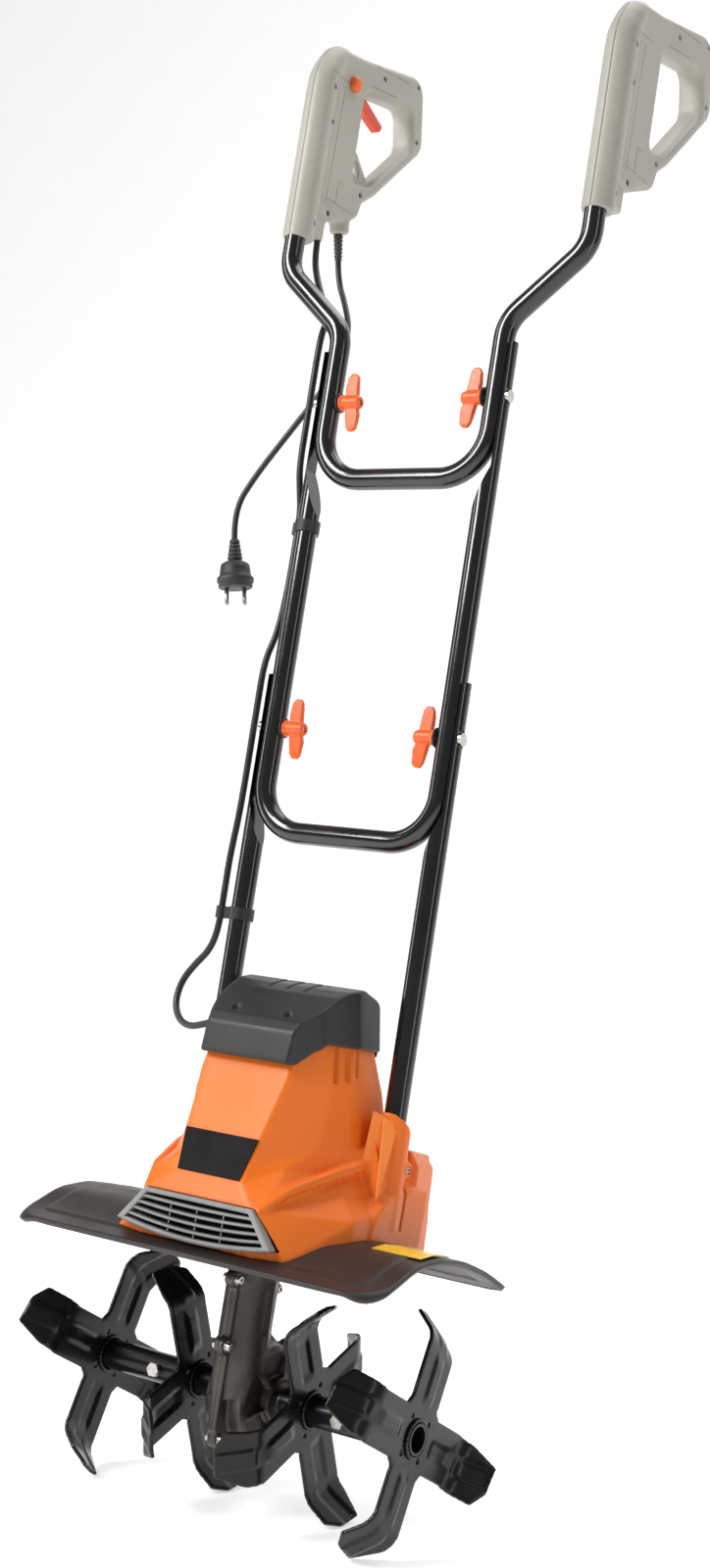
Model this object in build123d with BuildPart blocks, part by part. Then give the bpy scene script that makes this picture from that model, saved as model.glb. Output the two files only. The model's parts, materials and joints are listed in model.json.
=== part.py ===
from build123d import *
import os
from math import cos, radians, sin, tan

# An electric rotavator: a folding two-handed steering frame, a motor housing on a
# column gearbox, and a tined rotor on the gearbox's cross shaft.
#
# Everything is drawn in the machine's own frame: X across, +Y towards the person
# who steers it, Z along the handle tubes, with the rotor's axis on the X axis.
# The last section leans the machine back onto its tines.  Sizes are millimetres.

os.makedirs("parts", exist_ok=True)

# ---- Driving dimensions -------------------------------------------------------------
SIDES = {"left": -1, "right": 1}

touch = 0.3                    # air between pieces that only rest on each other
fit = 0.05                     # radial air round a pin, tube or shaft in its hole

tube_r = 11.0                  # handle tubes
tube_wall = 1.0
handle_y = 4.0                 # the handle's plane
nest = 4.8                     # how far an outer tube's centre lies outside the one it is pressed on
middle_x = 102.5               # centre of each leg of the middle frame
lower_x = middle_x + nest      # centre of each lower tube
upper_x = middle_x - nest      # centre of each leg of the upper frame
frame_bend_r = 50.0            # bend at the closed end of a frame
lower_pivot_z = 643.0
upper_pivot_z = 985.0
pressed_low = 73.0             # an outer tube is pressed flat inside from this far below its bolt
pressed_run = 50.0             # length over which the round tube turns flat
pressed_plug = 3.0             # length filled with metal below that
pressed_end = 55.0             # how far its flat end reaches past the bolt
pressed_end_r = 8.0            # rounding of that end
lower_foot_z = 176.0           # bottom ends of the lower tubes
middle_foot_z = 538.0          # centre line of the middle frame's closed end
upper_foot_z = 903.0           # centre line of the upper frame's closed end

bolt_r = 4.0
bolt_head_r = 6.5
bolt_head_t = 3.0
bolt_seat_r = 8.5              # dimple that a bolt head sits in
bolt_seat_depth = 2.0
nut_hub_r = 7.5
nut_length = 26.0
nut_span = 62.0

grip_x = 178.0                 # centre plane of each hand grip
grip_foot_z = 1177.0
flare_low_z = 1062.0
flare_high_z = 1133.0

axle_r = 11.9
axle_reach = 122.0
rotor_bolt_inset = 14.0        # from a shaft end in to its bolt
rotor_bolt_x = axle_reach - rotor_bolt_inset
rotor_nut_r = 7.0
rotor_nut_t = 6.0
rotor_wall = 2.55
rotor_tube_r = axle_r + fit + rotor_wall
rotor_gap = 5.0                # from a gear case boss to the rotor tube
star_t = 4.0
outer_star_x = 179.0
inner_star_x = 66.0
rotor_reach = outer_star_x + 5.0  # outer ends of the rotor tube
star_phase = 19.0              # lean of the outer stars' top arms to the rear
star_offset = 42.5             # turn of the inner stars against the outer ones
arm_lead = 25.0                # half widths of an arm either side of its centre line
arm_trail = 26.0
bend_lead = 82.0               # distance from the axis where the slanted bend starts
bend_trail = 70.0
bend_r = 22.0
bend_angle = 53.0
tip_length = 28.0              # straight part of a tip beyond the bend
tip_side = 18.0                # length of its trailing side
tip_lead = 10.0                # slants of its two outer corners
tip_trail = 16.0

case_r = 50.0
case_half = 24.0
boss_r = 22.0
boss_half = 33.0
column_y = -31.0
column_rx = 24.5
column_ry = 27.0
flange_half = 5.0              # half the thickness of the rim where the case halves meet

guard_half = 208.0
guard_t = 4.5
guard_profile = [(-155, 136), (-124, 144), (-86, 162), (-45, 168), (0, 165.5), (42, 156), (95, 138)]
guard_front_r = 30.0
guard_rear_r = 20.0

shell_t = 3.0                  # housing and cap walls
housing_top_z = 348.0
motor_r = 37.0
motor_top_z = 282.0
collar_r = 17.0

lead_r = 3.5
mains_r = 3.25


def mirrored(points):
    """Close a right half outline, given from front centre to rear centre, over x = 0."""
    return points + [(-x, y) for x, y in reversed(points) if x > 0]


def stack(sections, inset=0.0):
    """Straight-sided outlines (height, right half points), all moved in by inset, to loft."""
    layers = []
    for height, points in sections:
        with BuildSketch(Plane.XY.offset(height)) as layer:
            with BuildLine():
                Polyline(*mirrored(points), close=True)
            make_face()
            if inset:
                offset(amount=-inset, kind=Kind.INTERSECTION, mode=Mode.REPLACE)
        layers.append(layer.sketch.face())
    return layers


def arc_radii(points):
    """Largest even arc at each corner of a route: 0.45 of the shorter run over tan(turn / 2)."""
    radii = []
    for before, here, after in zip(points, points[1:], points[2:]):
        run_in = Vector(*here) - Vector(*before)
        run_out = Vector(*after) - Vector(*here)
        half_turn = radians(run_in.get_angle(run_out)) / 2
        radii.append(0.45 * min(run_in.length, run_out.length) / tan(half_turn))
    return radii


def route_end(points):
    """Plane across the start of a route."""
    return Plane(origin=points[0], z_dir=Vector(*points[1]) - Vector(*points[0]))


# ---- Gearbox: two cast halves that meet on x = 0 ------------------------------------
guard_under = [(y, z - guard_t) for y, z in guard_profile]
flange_foot_z = 138.0
column_top_z = 172.0

# screws round the rim: (y, z)
case_screws_at = [(-64, 110), (-64, 48), (-52, -38), (44, -40), (42, 42), (3.5, 100)]
case_lug_r = 8.0
case_screw_r = 5.5
case_screw_head = 5.0

gear_halves = {}
for name, side in SIDES.items():
    with BuildPart() as half:
        # the worm column, an oval post
        with BuildSketch(Plane.XY):
            with Locations((0, column_y)):
                Ellipse(column_rx, column_ry)
        extrude(amount=column_top_z)
        # the round case of the worm wheel and its shaft bosses
        with BuildSketch(Plane.YZ):
            Circle(case_r)
        extrude(amount=case_half, both=True)
        fillet(half.edges().filter_by(GeomType.CIRCLE).filter_by(lambda e: e.radius == case_r), 5)
        with BuildSketch(Plane.YZ):
            Circle(boss_r)
        extrude(amount=boss_half, both=True)
        # the rim along the joint
        with BuildSketch(Plane.YZ):
            with BuildLine():
                Polyline(
                    (column_y - column_ry - 4, flange_foot_z),
                    (column_y - column_ry - 4, -30),
                    (-38, -48),
                    (0, -case_r - 4),
                    (38, -38),
                    (case_r + 4, 0),
                    (38, 38),
                    (column_y + column_ry + 4, 62),
                    (column_y + column_ry + 4, flange_foot_z),
                    close=True,
                )
            make_face()
            with Locations(*case_screws_at):
                Circle(case_lug_r)
        extrude(amount=flange_half, both=True)
        # the plate that carries the guard, cut to the guard's arch
        with BuildSketch(Plane.XY.offset(flange_foot_z)):
            with Locations((0, column_y)):
                RectangleRounded(110, 84, 12)
        extrude(amount=column_top_z - flange_foot_z)
        with BuildSketch(Plane.YZ):
            with BuildLine():
                Polyline(*guard_under, (guard_under[-1][0], 260), (guard_under[0][0], 260), close=True)
            make_face()
        extrude(amount=guard_half, both=True, mode=Mode.SUBTRACT)
        with BuildSketch(Plane.XY.offset(flange_foot_z)):
            with Locations((0, column_y)):
                Ellipse(column_rx, column_ry)
        extrude(amount=column_top_z - flange_foot_z)
        # the cross shaft's hole
        with BuildSketch(Plane.YZ):
            Circle(axle_r + fit)
        extrude(amount=boss_half, both=True, mode=Mode.SUBTRACT)
        # keep one side of the joint
        with BuildSketch(Plane.YZ):
            with Locations((0, 60)):
                Rectangle(400, 400)
        extrude(amount=-side * guard_half, mode=Mode.SUBTRACT)
    gear_halves[f"gear_case_{name}"] = half

# their heads and nuts on the two faces of the rim
with BuildPart() as gear_case_screws:
    for side in SIDES.values():
        with BuildSketch(Plane.YZ.offset(side * (flange_half + touch))):
            with Locations(*case_screws_at):
                Circle(case_screw_r)
        extrude(amount=side * case_screw_head)

# ---- Motor: one plain block on the column --------------------------------------------
with BuildPart() as motor:
    with BuildSketch(Plane.XY.offset(column_top_z)):
        with Locations((0, column_y)):
            Circle(motor_r)
    extrude(amount=motor_top_z - column_top_z)

# ---- Guard: an arched plate over the rotor -------------------------------------------
guard_depth = guard_profile[-1][0] - guard_profile[0][0]
with BuildPart() as guard:
    with BuildSketch(Plane.YZ):
        with BuildLine():
            Polyline(*guard_profile, *reversed(guard_under), close=True)
        make_face()
    extrude(amount=guard_half, both=True)
    with BuildSketch(Plane.XY) as guard_plan:
        with Locations((0, guard_profile[0][0] + guard_depth / 2)):
            Rectangle(2 * guard_half, guard_depth)
        fillet(guard_plan.vertices().group_by(Axis.Y)[0], guard_front_r)
        fillet(guard_plan.vertices().group_by(Axis.Y)[-1], guard_rear_r)
    extrude(amount=260, mode=Mode.INTERSECT)
    with BuildSketch(Plane.XY):
        with Locations((0, column_y)):
            Ellipse(column_rx + touch, column_ry + touch)
    extrude(amount=260, mode=Mode.SUBTRACT)

# ---- Grille: a framed set of curved bars in the housing's front ----------------------
grille_top_z = 184.0
grille_side_z = 152.0          # bottom corners
grille_middle_z = 144.0        # lowest point of the curved bottom edge
grille_top_x = 61.0
grille_bottom_x = 88.0
grille_rim = 5.0
grille_back_y = -131.0
grille_front_y = -141.0
grille_slots = 5
grille_bar = 2.6               # height of a bar

slot_high = grille_top_z - grille_rim
slot_pitch = (slot_high - grille_side_z - grille_rim + grille_bar) / grille_slots
sag_total = grille_side_z - grille_middle_z


def grille_half_width(z):
    """Half width of the grille at a height on its slanted sides."""
    share = (grille_top_z - z) / (grille_top_z - grille_side_z)
    return grille_top_x + share * (grille_bottom_x - grille_top_x)


def grille_outline(grow=0.0):
    """Edges of the whole grille's face, grown all round."""
    with BuildLine() as edges:
        Polyline(
            (-grille_bottom_x - grow, grille_side_z - grow),
            (-grille_top_x - grow, grille_top_z + grow),
            (grille_top_x + grow, grille_top_z + grow),
            (grille_bottom_x + grow, grille_side_z - grow),
        )
        ThreePointArc(
            (-grille_bottom_x - grow, grille_side_z - grow),
            (0, grille_middle_z - grow),
            (grille_bottom_x + grow, grille_side_z - grow),
        )
    return edges.line.edges()


with BuildPart() as grille:
    with BuildSketch(Plane.XZ.offset(-grille_back_y)):
        make_face(grille_outline())
    extrude(amount=grille_back_y - grille_front_y)
    for slot in range(grille_slots):
        upper_z = slot_high - slot * slot_pitch
        lower_z = upper_z - slot_pitch + grille_bar
        upper_sag = sag_total * (grille_top_z - upper_z) / (grille_top_z - grille_side_z)
        lower_sag = sag_total * (grille_top_z - lower_z) / (grille_top_z - grille_side_z)
        upper_end = grille_half_width(upper_z) - grille_rim
        lower_end = grille_half_width(lower_z) - grille_rim
        with BuildSketch(Plane.XZ.offset(-grille_back_y - 1)):
            with BuildLine():
                ThreePointArc((-upper_end, upper_z), (0, upper_z - upper_sag), (upper_end, upper_z))
                Line((upper_end, upper_z), (lower_end, lower_z))
                ThreePointArc((lower_end, lower_z), (0, lower_z - lower_sag), (-lower_end, lower_z))
                Line((-lower_end, lower_z), (-upper_end, upper_z))
            make_face()
        extrude(amount=grille_back_y - grille_front_y + 2, mode=Mode.SUBTRACT)

# ---- Housing: an orange shell on the guard -------------------------------------------
# Right half outlines (x, y) from front centre to rear centre, at rising heights.
flare = [
    (120, [(0, -133), (60, -133), (91, -129), (120, -62), (122, 34), (108, 96), (0, 103)]),
    (183, [(0, -137), (58, -137), (64, -136), (120, -60), (121, 34), (107, 95), (0, 103)]),
    (204, [(0, -129), (36, -129), (68, -117), (99, -54), (119, 36), (105, 94), (0, 102)]),
    (221, [(0, -123.7), (39, -123.7), (62, -101), (94, -36), (116, 38), (103, 93), (0, 101)]),
    (246, [(0, -116), (42, -116), (78, -62), (100, -16), (108, 40), (100, 91), (0, 98)]),
]
tower = [
    (246, [(0, -116), (42, -116), (78, -60), (96, -14), (96, 22), (84, 36), (0, 36)]),
    (300, [(0, -99), (49, -99), (78, -54), (86, -20), (84, 12), (72, 25), (0, 25)]),
    (housing_top_z, [(0, -84), (47, -84), (59, -66), (69, -28), (69, 4), (59, 13), (0, 13)]),
]
roof = shell_t
inner_flare = [*flare[:-1], (flare[-1][0] - roof, flare[-1][1])]
inner_tower = [(flare[-1][0] - 2 * roof, tower[0][1]), tower[1], (housing_top_z - roof, tower[2][1])]
collar_top_z = 285.0
collar_rear_z = 263.0
guard_front_y, guard_front_z = guard_profile[0]
guard_rear_y, guard_rear_z = guard_profile[-1]
guard_body = [(guard_front_y, 100), *guard_profile, (guard_rear_y + 60, guard_rear_z), (guard_rear_y + 60, 100)]

with BuildPart() as housing:
    loft(stack(flare), ruled=True)
    loft(stack(tower), ruled=True)
    loft(stack(inner_flare, inset=shell_t), ruled=True, mode=Mode.SUBTRACT)
    loft(stack(inner_tower, inset=shell_t), ruled=True, mode=Mode.SUBTRACT)
    # collars round the lower tubes, cut off at a slant
    for side in SIDES.values():
        with BuildSketch(Plane.XY.offset(lower_foot_z)):
            with Locations((side * lower_x, handle_y)):
                Circle(collar_r)
        extrude(amount=collar_top_z - lower_foot_z)
        with BuildSketch(Plane.XY.offset(lower_foot_z)):
            with Locations((side * lower_x, handle_y)):
                Circle(tube_r + fit)
        extrude(amount=collar_top_z - lower_foot_z, mode=Mode.SUBTRACT)
        with BuildSketch(Plane.YZ.offset(side * (lower_x - collar_r))):
            with BuildLine():
                Polyline(
                    (handle_y - collar_r, collar_top_z),
                    (handle_y + collar_r + 1, collar_rear_z),
                    (handle_y + collar_r + 1, collar_top_z + 1),
                    (handle_y - collar_r, collar_top_z + 1),
                    close=True,
                )
            make_face()
        extrude(amount=side * 2 * collar_r, mode=Mode.SUBTRACT)
    # the underside follows the guard
    with BuildSketch(Plane.YZ):
        with BuildLine():
            Polyline(*guard_body, close=True)
        make_face()
    extrude(amount=guard_half, both=True, mode=Mode.SUBTRACT)
    # the window that holds the grille
    with BuildSketch(Plane.XZ.offset(110)):
        make_face(grille_outline(grow=touch))
    extrude(amount=50, mode=Mode.SUBTRACT)

# ---- Blank black plate on the sloping front ------------------------------------------
front_low_y, front_low_z = flare[2][1][0][1], flare[2][0]
front_high_y, front_high_z = flare[4][1][0][1], flare[4][0]
front_slope = Vector(0, front_high_y - front_low_y, front_high_z - front_low_z).normalized()
front_face = Plane(
    origin=(0, front_low_y, front_low_z),
    x_dir=(1, 0, 0),
    z_dir=Vector(1, 0, 0).cross(front_slope),
)
plate_height = 41.0
plate_t = 1.2
with BuildPart() as front_plate:
    with BuildSketch(front_face.offset(touch)):
        with BuildLine():
            Polyline((-35, 1), (35, 1), (41.5, plate_height), (-41.5, plate_height), close=True)
        make_face()
    extrude(amount=plate_t)

# ---- Cap: a charcoal hood over the top of the housing --------------------------------
cap_plan = [
    (300, [(0, -97.5), (51, -97.5), (71, -74), (84, -28), (84, 9), (72, 21), (0, 21)]),
    (400, [(0, -97.5), (41, -97.5), (53, -74), (64, -28), (64, 6), (54, 17), (0, 17)]),
]
cap_side = [
    (-97.5, 314), (-93, 344), (-80, 357), (-47, 379), (-35, 378), (8, 361), (30, 350),
    (30, 337), (-66, 337), (-82, 327), (-92, 314),
]
cap_hollow = [(-84, 340), (-84, 346), (-74, 354), (-46, 374), (-36, 373), (4, 357), (8, 350), (8, 340)]
cap_hollow_half = 46.0
lead_port_y = -15.0
lead_port_z = 345.0
lead_port_x = -72.0            # bottom of the lead's hole in the cap's left side
with BuildPart() as cap:
    loft(stack(cap_plan), ruled=True)
    with BuildSketch(Plane.YZ):
        with BuildLine():
            Polyline(*cap_side, close=True)
        make_face()
    extrude(amount=guard_half, both=True, mode=Mode.INTERSECT)
    # the pocket that drops over the housing's top
    loft(stack([tower[1], (housing_top_z + touch, tower[2][1])], inset=-touch), ruled=True, mode=Mode.SUBTRACT)
    with BuildSketch(Plane.YZ):
        with BuildLine():
            Polyline(*cap_hollow, close=True)
        make_face()
    extrude(amount=cap_hollow_half, both=True, mode=Mode.SUBTRACT)
    # where the motor lead goes in
    with BuildSketch(Plane.YZ.offset(lead_port_x)):
        with Locations((lead_port_y, lead_port_z)):
            Circle(lead_r + fit)
    extrude(amount=-40, mode=Mode.SUBTRACT)

# ---- Lower tubes: round outside, their top ends pressed flat against the middle frame --
def pressed_top(pivot_z):
    """Edges of a pressed tube end seen along X, from where it starts to turn flat."""
    with BuildSketch() as outline:
        with Locations((handle_y, pivot_z + (pressed_end - pressed_low - pressed_run) / 2)):
            Rectangle(2 * tube_r, pressed_end + pressed_low + pressed_run)
        fillet(outline.vertices().group_by(Axis.Y)[-1], pressed_end_r)
    return outline.sketch.face().outer_wire().edges()


def pressed_away(side, outer_x, inner_x, pivot_z):
    """Edges, seen along Y, of all that is pressed out of an outer tube's inner side."""
    flat_x = inner_x + tube_r + touch
    round_z = pivot_z - pressed_low - pressed_run + pressed_plug
    with BuildLine() as edges:
        Polyline(
            (side * (outer_x - tube_r), round_z),
            (side * flat_x, pivot_z - pressed_low),
            (side * flat_x, pivot_z + 2 * pressed_end),
            (side * (outer_x - 2 * tube_r), pivot_z + 2 * pressed_end),
            (side * (outer_x - 2 * tube_r), round_z),
            close=True,
        )
    return edges.line.edges()


lower_round_top = lower_pivot_z - pressed_low - pressed_run
lower_tubes = {}
for name, side in SIDES.items():
    with BuildPart() as tube:
        with BuildSketch(Plane.YZ.offset(side * (lower_x - tube_r))):
            make_face(pressed_top(lower_pivot_z))
        extrude(amount=side * 2 * tube_r)
        with BuildSketch(Plane.XY.offset(lower_round_top)):
            with Locations((side * lower_x, handle_y)):
                Circle(tube_r)
        extrude(amount=pressed_run + pressed_low + pressed_end, mode=Mode.INTERSECT)
        with BuildSketch(Plane.XZ):
            make_face(pressed_away(side, lower_x, middle_x, lower_pivot_z))
        extrude(amount=lower_pivot_z, both=True, mode=Mode.SUBTRACT)
        with BuildSketch(Plane.XY.offset(lower_foot_z)):
            with Locations((side * lower_x, handle_y)):
                Circle(tube_r)
                Circle(tube_r - tube_wall, mode=Mode.SUBTRACT)
        extrude(amount=lower_round_top - lower_foot_z)
        with BuildSketch(Plane.YZ.offset(side * (lower_x + tube_r))):
            with Locations((handle_y, lower_pivot_z)):
                Circle(bolt_seat_r)
        extrude(amount=-side * bolt_seat_depth, mode=Mode.SUBTRACT)
        with BuildSketch(Plane.YZ):
            with Locations((handle_y, lower_pivot_z)):
                Circle(bolt_r + fit)
        extrude(amount=lower_x + tube_r, both=True, mode=Mode.SUBTRACT)
    lower_tubes[f"lower_tube_{name}"] = tube

# ---- Middle frame: a U whose closed end hangs below the lower bolts -------------------
middle_round_top = upper_pivot_z - pressed_low - pressed_run
with BuildPart() as middle_ends:
    for side in SIDES.values():
        with BuildSketch(Plane.YZ.offset(side * (middle_x - tube_r))):
            make_face(pressed_top(upper_pivot_z))
        extrude(amount=side * 2 * tube_r)
    with BuildSketch(Plane.XY.offset(middle_round_top)):
        for side in SIDES.values():
            with Locations((side * middle_x, handle_y)):
                Circle(tube_r)
    extrude(amount=pressed_run + pressed_low + pressed_end, mode=Mode.INTERSECT)
    with BuildSketch(Plane.XZ):
        for side in SIDES.values():
            make_face(pressed_away(side, middle_x, upper_x, upper_pivot_z))
    extrude(amount=upper_pivot_z, both=True, mode=Mode.SUBTRACT)
    for side in SIDES.values():
        with BuildSketch(Plane.YZ.offset(side * (middle_x + tube_r))):
            with Locations((handle_y, upper_pivot_z)):
                Circle(bolt_seat_r)
        extrude(amount=-side * bolt_seat_depth, mode=Mode.SUBTRACT)
    with BuildSketch(Plane.YZ):
        with Locations((handle_y, upper_pivot_z)):
            Circle(bolt_r + fit)
    extrude(amount=lower_x + tube_r, both=True, mode=Mode.SUBTRACT)

with BuildPart() as middle_frame:
    with BuildLine():
        FilletPolyline(
            (-middle_x, handle_y, middle_round_top),
            (-middle_x, handle_y, middle_foot_z),
            (middle_x, handle_y, middle_foot_z),
            (middle_x, handle_y, middle_round_top),
            radius=frame_bend_r,
        )
    with BuildSketch(Plane((-middle_x, handle_y, middle_round_top), z_dir=(0, 0, -1))):
        Circle(tube_r)
        Circle(tube_r - tube_wall, mode=Mode.SUBTRACT)
    sweep()
    with BuildSketch(Plane.YZ):
        with Locations((handle_y, lower_pivot_z)):
            Circle(bolt_r + fit)
    extrude(amount=lower_x + tube_r, both=True, mode=Mode.SUBTRACT)
    add(middle_ends.part)

# ---- Upper frame: a U whose legs spread out to the two hand grips ---------------------
grip_tube_top_z = 1335.0
flare_bend_r = 38.0
with BuildPart() as upper_frame:
    with BuildLine():
        FilletPolyline(
            (-grip_x, handle_y, grip_tube_top_z),
            (-grip_x, handle_y, flare_high_z),
            (-upper_x, handle_y, flare_low_z),
            (-upper_x, handle_y, upper_foot_z),
            (upper_x, handle_y, upper_foot_z),
            (upper_x, handle_y, flare_low_z),
            (grip_x, handle_y, flare_high_z),
            (grip_x, handle_y, grip_tube_top_z),
            radius=[flare_bend_r, flare_bend_r, frame_bend_r, frame_bend_r, flare_bend_r, flare_bend_r],
        )
    with BuildSketch(Plane((-grip_x, handle_y, grip_tube_top_z), z_dir=(0, 0, -1))):
        Circle(tube_r)
        Circle(tube_r - tube_wall, mode=Mode.SUBTRACT)
    sweep()
    with BuildSketch(Plane.YZ):
        with Locations((handle_y, upper_pivot_z)):
            Circle(bolt_r + fit)
    extrude(amount=lower_x + tube_r, both=True, mode=Mode.SUBTRACT)

# ---- Pivot bolts and orange wing nuts -------------------------------------------------
# (name, height, seat of the bolt head, inner face of the inner tube)
pivots = [
    ("lower", lower_pivot_z, lower_x + tube_r - bolt_seat_depth, middle_x - tube_r),
    ("upper", upper_pivot_z, middle_x + tube_r - bolt_seat_depth, upper_x - tube_r),
]
wing_t = 6.0
pivot_bolts = {}
wing_nuts = {}
for name, pivot_z, outer_face, inner_face in pivots:
    nut_outer = inner_face - touch
    with BuildPart() as bolts:
        for side in SIDES.values():
            with BuildSketch(Plane.YZ.offset(side * (outer_face + touch))):
                with Locations((handle_y, pivot_z)):
                    Circle(bolt_head_r)
            extrude(amount=side * bolt_head_t)
            with BuildSketch(Plane.YZ.offset(side * (outer_face + touch))):
                with Locations((handle_y, pivot_z)):
                    Circle(bolt_r)
            extrude(amount=side * (nut_outer - nut_length + 2 - outer_face - touch))
    pivot_bolts[name] = bolts
    with BuildPart() as nuts:
        for side in SIDES.values():
            with BuildSketch(Plane.YZ.offset(side * nut_outer)):
                with Locations((handle_y, pivot_z)):
                    Circle(nut_hub_r)
            extrude(amount=-side * nut_length)
            with BuildSketch(Plane.XZ.offset(-handle_y)):
                with Locations((side * (nut_outer - nut_length / 2 - 4), pivot_z)):
                    SlotOverall(nut_span, 15, rotation=90)
            extrude(amount=wing_t / 2, both=True)
            with BuildSketch(Plane.YZ.offset(side * nut_outer)):
                with Locations((handle_y, pivot_z)):
                    Circle(bolt_r + fit)
            extrude(amount=-side * nut_length, mode=Mode.SUBTRACT)
    wing_nuts[name] = nuts

# ---- Hand grips: a stem over the tube, a D loop behind it, and a chin below -----------
stem_r = 16.5
stem_y = 8.0
stem_top_z = 1356.0
loop_half = 16.0
loop_round = 6.0
loop_outline = [
    (14, 1222), (14, 1398), (62, 1404), (178, 1432), (196, 1352), (118, 1265),
    (97, 1247), (92, 1228), (52, 1210),
]
loop_outline_r = [8, 20, 8, 22, 22, 16, 8, 10, 8]
loop_hole = [(72, 1365), (160, 1386), (171, 1346), (104, 1271), (72, 1262)]
loop_hole_r = [8, 12, 20, 14, 6]
channel_half = 9.0             # the rib behind the stem that holds the lead
channel_back_y = 46.0
channel_foot_z = 1182.0
channel_top_z = 1351.0
grip_wall = 2.5
grip_seam = 0.2                # hairline between the two half shells of a grip
hollow_front_y = 30.0          # a grip is hollow behind here
lead_top = (-176, 40, 1190)    # where the motor lead leaves the rib of the left grip

# the mains cord's strain relief, held in the chin of the left grip
relief_end = Vector(-176.5, 84, 1178)
relief_way = Vector(0.5, 10, -38).normalized()
relief_length = 45.0
relief_collar = 9.0
relief_r = 5.5
relief_tip_r = 4.2
relief_base = Plane(relief_end - relief_way * relief_length, z_dir=relief_way)


def rounded(points, radii, grow=0.0):
    """Edges of a closed outline with its own radius at each corner, grown all round."""
    with BuildSketch() as face:
        with BuildLine():
            Polyline(*points, close=True)
        make_face()
        for point, radius in zip(points, radii):
            fillet(face.vertices().sort_by_distance(point)[0], radius)
        if grow:
            offset(amount=grow, mode=Mode.REPLACE)
    return face.sketch.face().outer_wire().edges()


grips = {}
for name, side in SIDES.items():
    with BuildPart() as grip:
        with BuildSketch(Plane.YZ.offset(side * grip_x)):
            make_face(rounded(loop_outline, loop_outline_r))
            make_face(rounded(loop_hole, loop_hole_r), mode=Mode.SUBTRACT)
        extrude(amount=loop_half, both=True)
        fillet(grip.faces().filter_by(Axis.X).edges(), loop_round)
        with BuildSketch(Plane.YZ.offset(side * grip_x)):
            make_face(rounded(loop_outline, loop_outline_r, grow=-grip_wall))
            make_face(rounded(loop_hole, loop_hole_r, grow=grip_wall), mode=Mode.SUBTRACT)
            with Locations((hollow_front_y, stem_top_z)):
                Rectangle(100, 600, align=(Align.MAX, Align.CENTER), mode=Mode.SUBTRACT)
        extrude(amount=loop_half - grip_wall, both=True, mode=Mode.SUBTRACT)
        with BuildSketch(Plane.YZ.offset(side * grip_x)):
            with Locations(((handle_y + channel_back_y) / 2, (channel_foot_z + channel_top_z) / 2)):
                Rectangle(channel_back_y - handle_y, channel_top_z - channel_foot_z)
        extrude(amount=channel_half, both=True)
        with BuildSketch(Plane.XY.offset(grip_foot_z)):
            with Locations((side * grip_x, stem_y)):
                Circle(stem_r)
        extrude(amount=stem_top_z - grip_foot_z)
        with BuildSketch(Plane.XY.offset(grip_foot_z)):
            with Locations((side * grip_x, handle_y)):
                Circle(tube_r + fit)
        extrude(amount=grip_tube_top_z + touch - grip_foot_z, mode=Mode.SUBTRACT)
        if name == "left":
            with BuildSketch(Plane.XY.offset(channel_foot_z)):
                with Locations(lead_top[:2]):
                    Circle(lead_r + fit)
            extrude(amount=lead_top[2] - channel_foot_z, mode=Mode.SUBTRACT)
            with BuildSketch(relief_base):
                Circle(relief_r + fit)
            extrude(amount=relief_collar, both=True, mode=Mode.SUBTRACT)
        with BuildSketch(Plane.YZ.offset(side * grip_x)):
            with Locations((0, stem_top_z)):
                Rectangle(600, 600)
        extrude(amount=grip_seam / 2, both=True, mode=Mode.SUBTRACT)
    grips[f"grip_{name}"] = grip

# ---- Switch lever, lock button and strain relief on the left grip ---------------------
lever_t = 12.0
lever_root_y = loop_hole[0][0] + touch
lever_outline = [(lever_root_y, 1356), (78, 1359), (122, 1342), (118, 1334), (90, 1342), (lever_root_y, 1346)]
lever_outline_r = [0.5, 2, 3.5, 3.5, 6, 0.5]
with BuildPart() as switch_lever:
    with BuildSketch(Plane.YZ.offset(-grip_x)):
        make_face(rounded(lever_outline, lever_outline_r))
    extrude(amount=lever_t / 2, both=True)

button_r = 8.0
button_y, button_z = 44.0, 1361.0
with BuildPart() as lock_button:
    with BuildSketch(Plane.YZ.offset(-grip_x + loop_half + touch)):
        with Locations((button_y, button_z)):
            Circle(button_r)
    extrude(amount=8)
    fillet(lock_button.faces().sort_by(Axis.X)[-1].edges(), 2.5)

# ---- Mains lead: strain relief, cord and plug -----------------------------------------
mains_route = [
    (relief_end.X, relief_end.Y, relief_end.Z),
    (-176.2, 89.6, 1156.7),
    (-160, 86, 1129),
    (-140, 74, 1095),
    (-134, 62, 1054),
    (-151, 53, 1012),
    (-181, 48, 966),
    (-209, 43, 922),
    (-226, 37, 882),
    (-221, 40, 850),
]
mains_radii = arc_radii(mains_route)
print("mains cord radii", [round(radius, 1) for radius in mains_radii])
with BuildPart() as mains_relief:
    with BuildSketch(relief_base):
        Circle(relief_r)
    extrude(amount=relief_collar)
    with BuildSketch(relief_base.offset(relief_collar)):
        Circle(relief_r)
    with BuildSketch(relief_base.offset(relief_length)):
        Circle(relief_tip_r)
    loft()
with BuildPart() as mains_cord:
    with BuildLine():
        FilletPolyline(*mains_route, radius=mains_radii)
    with BuildSketch(route_end(mains_route)):
        Circle(mains_r)
    sweep()

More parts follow.
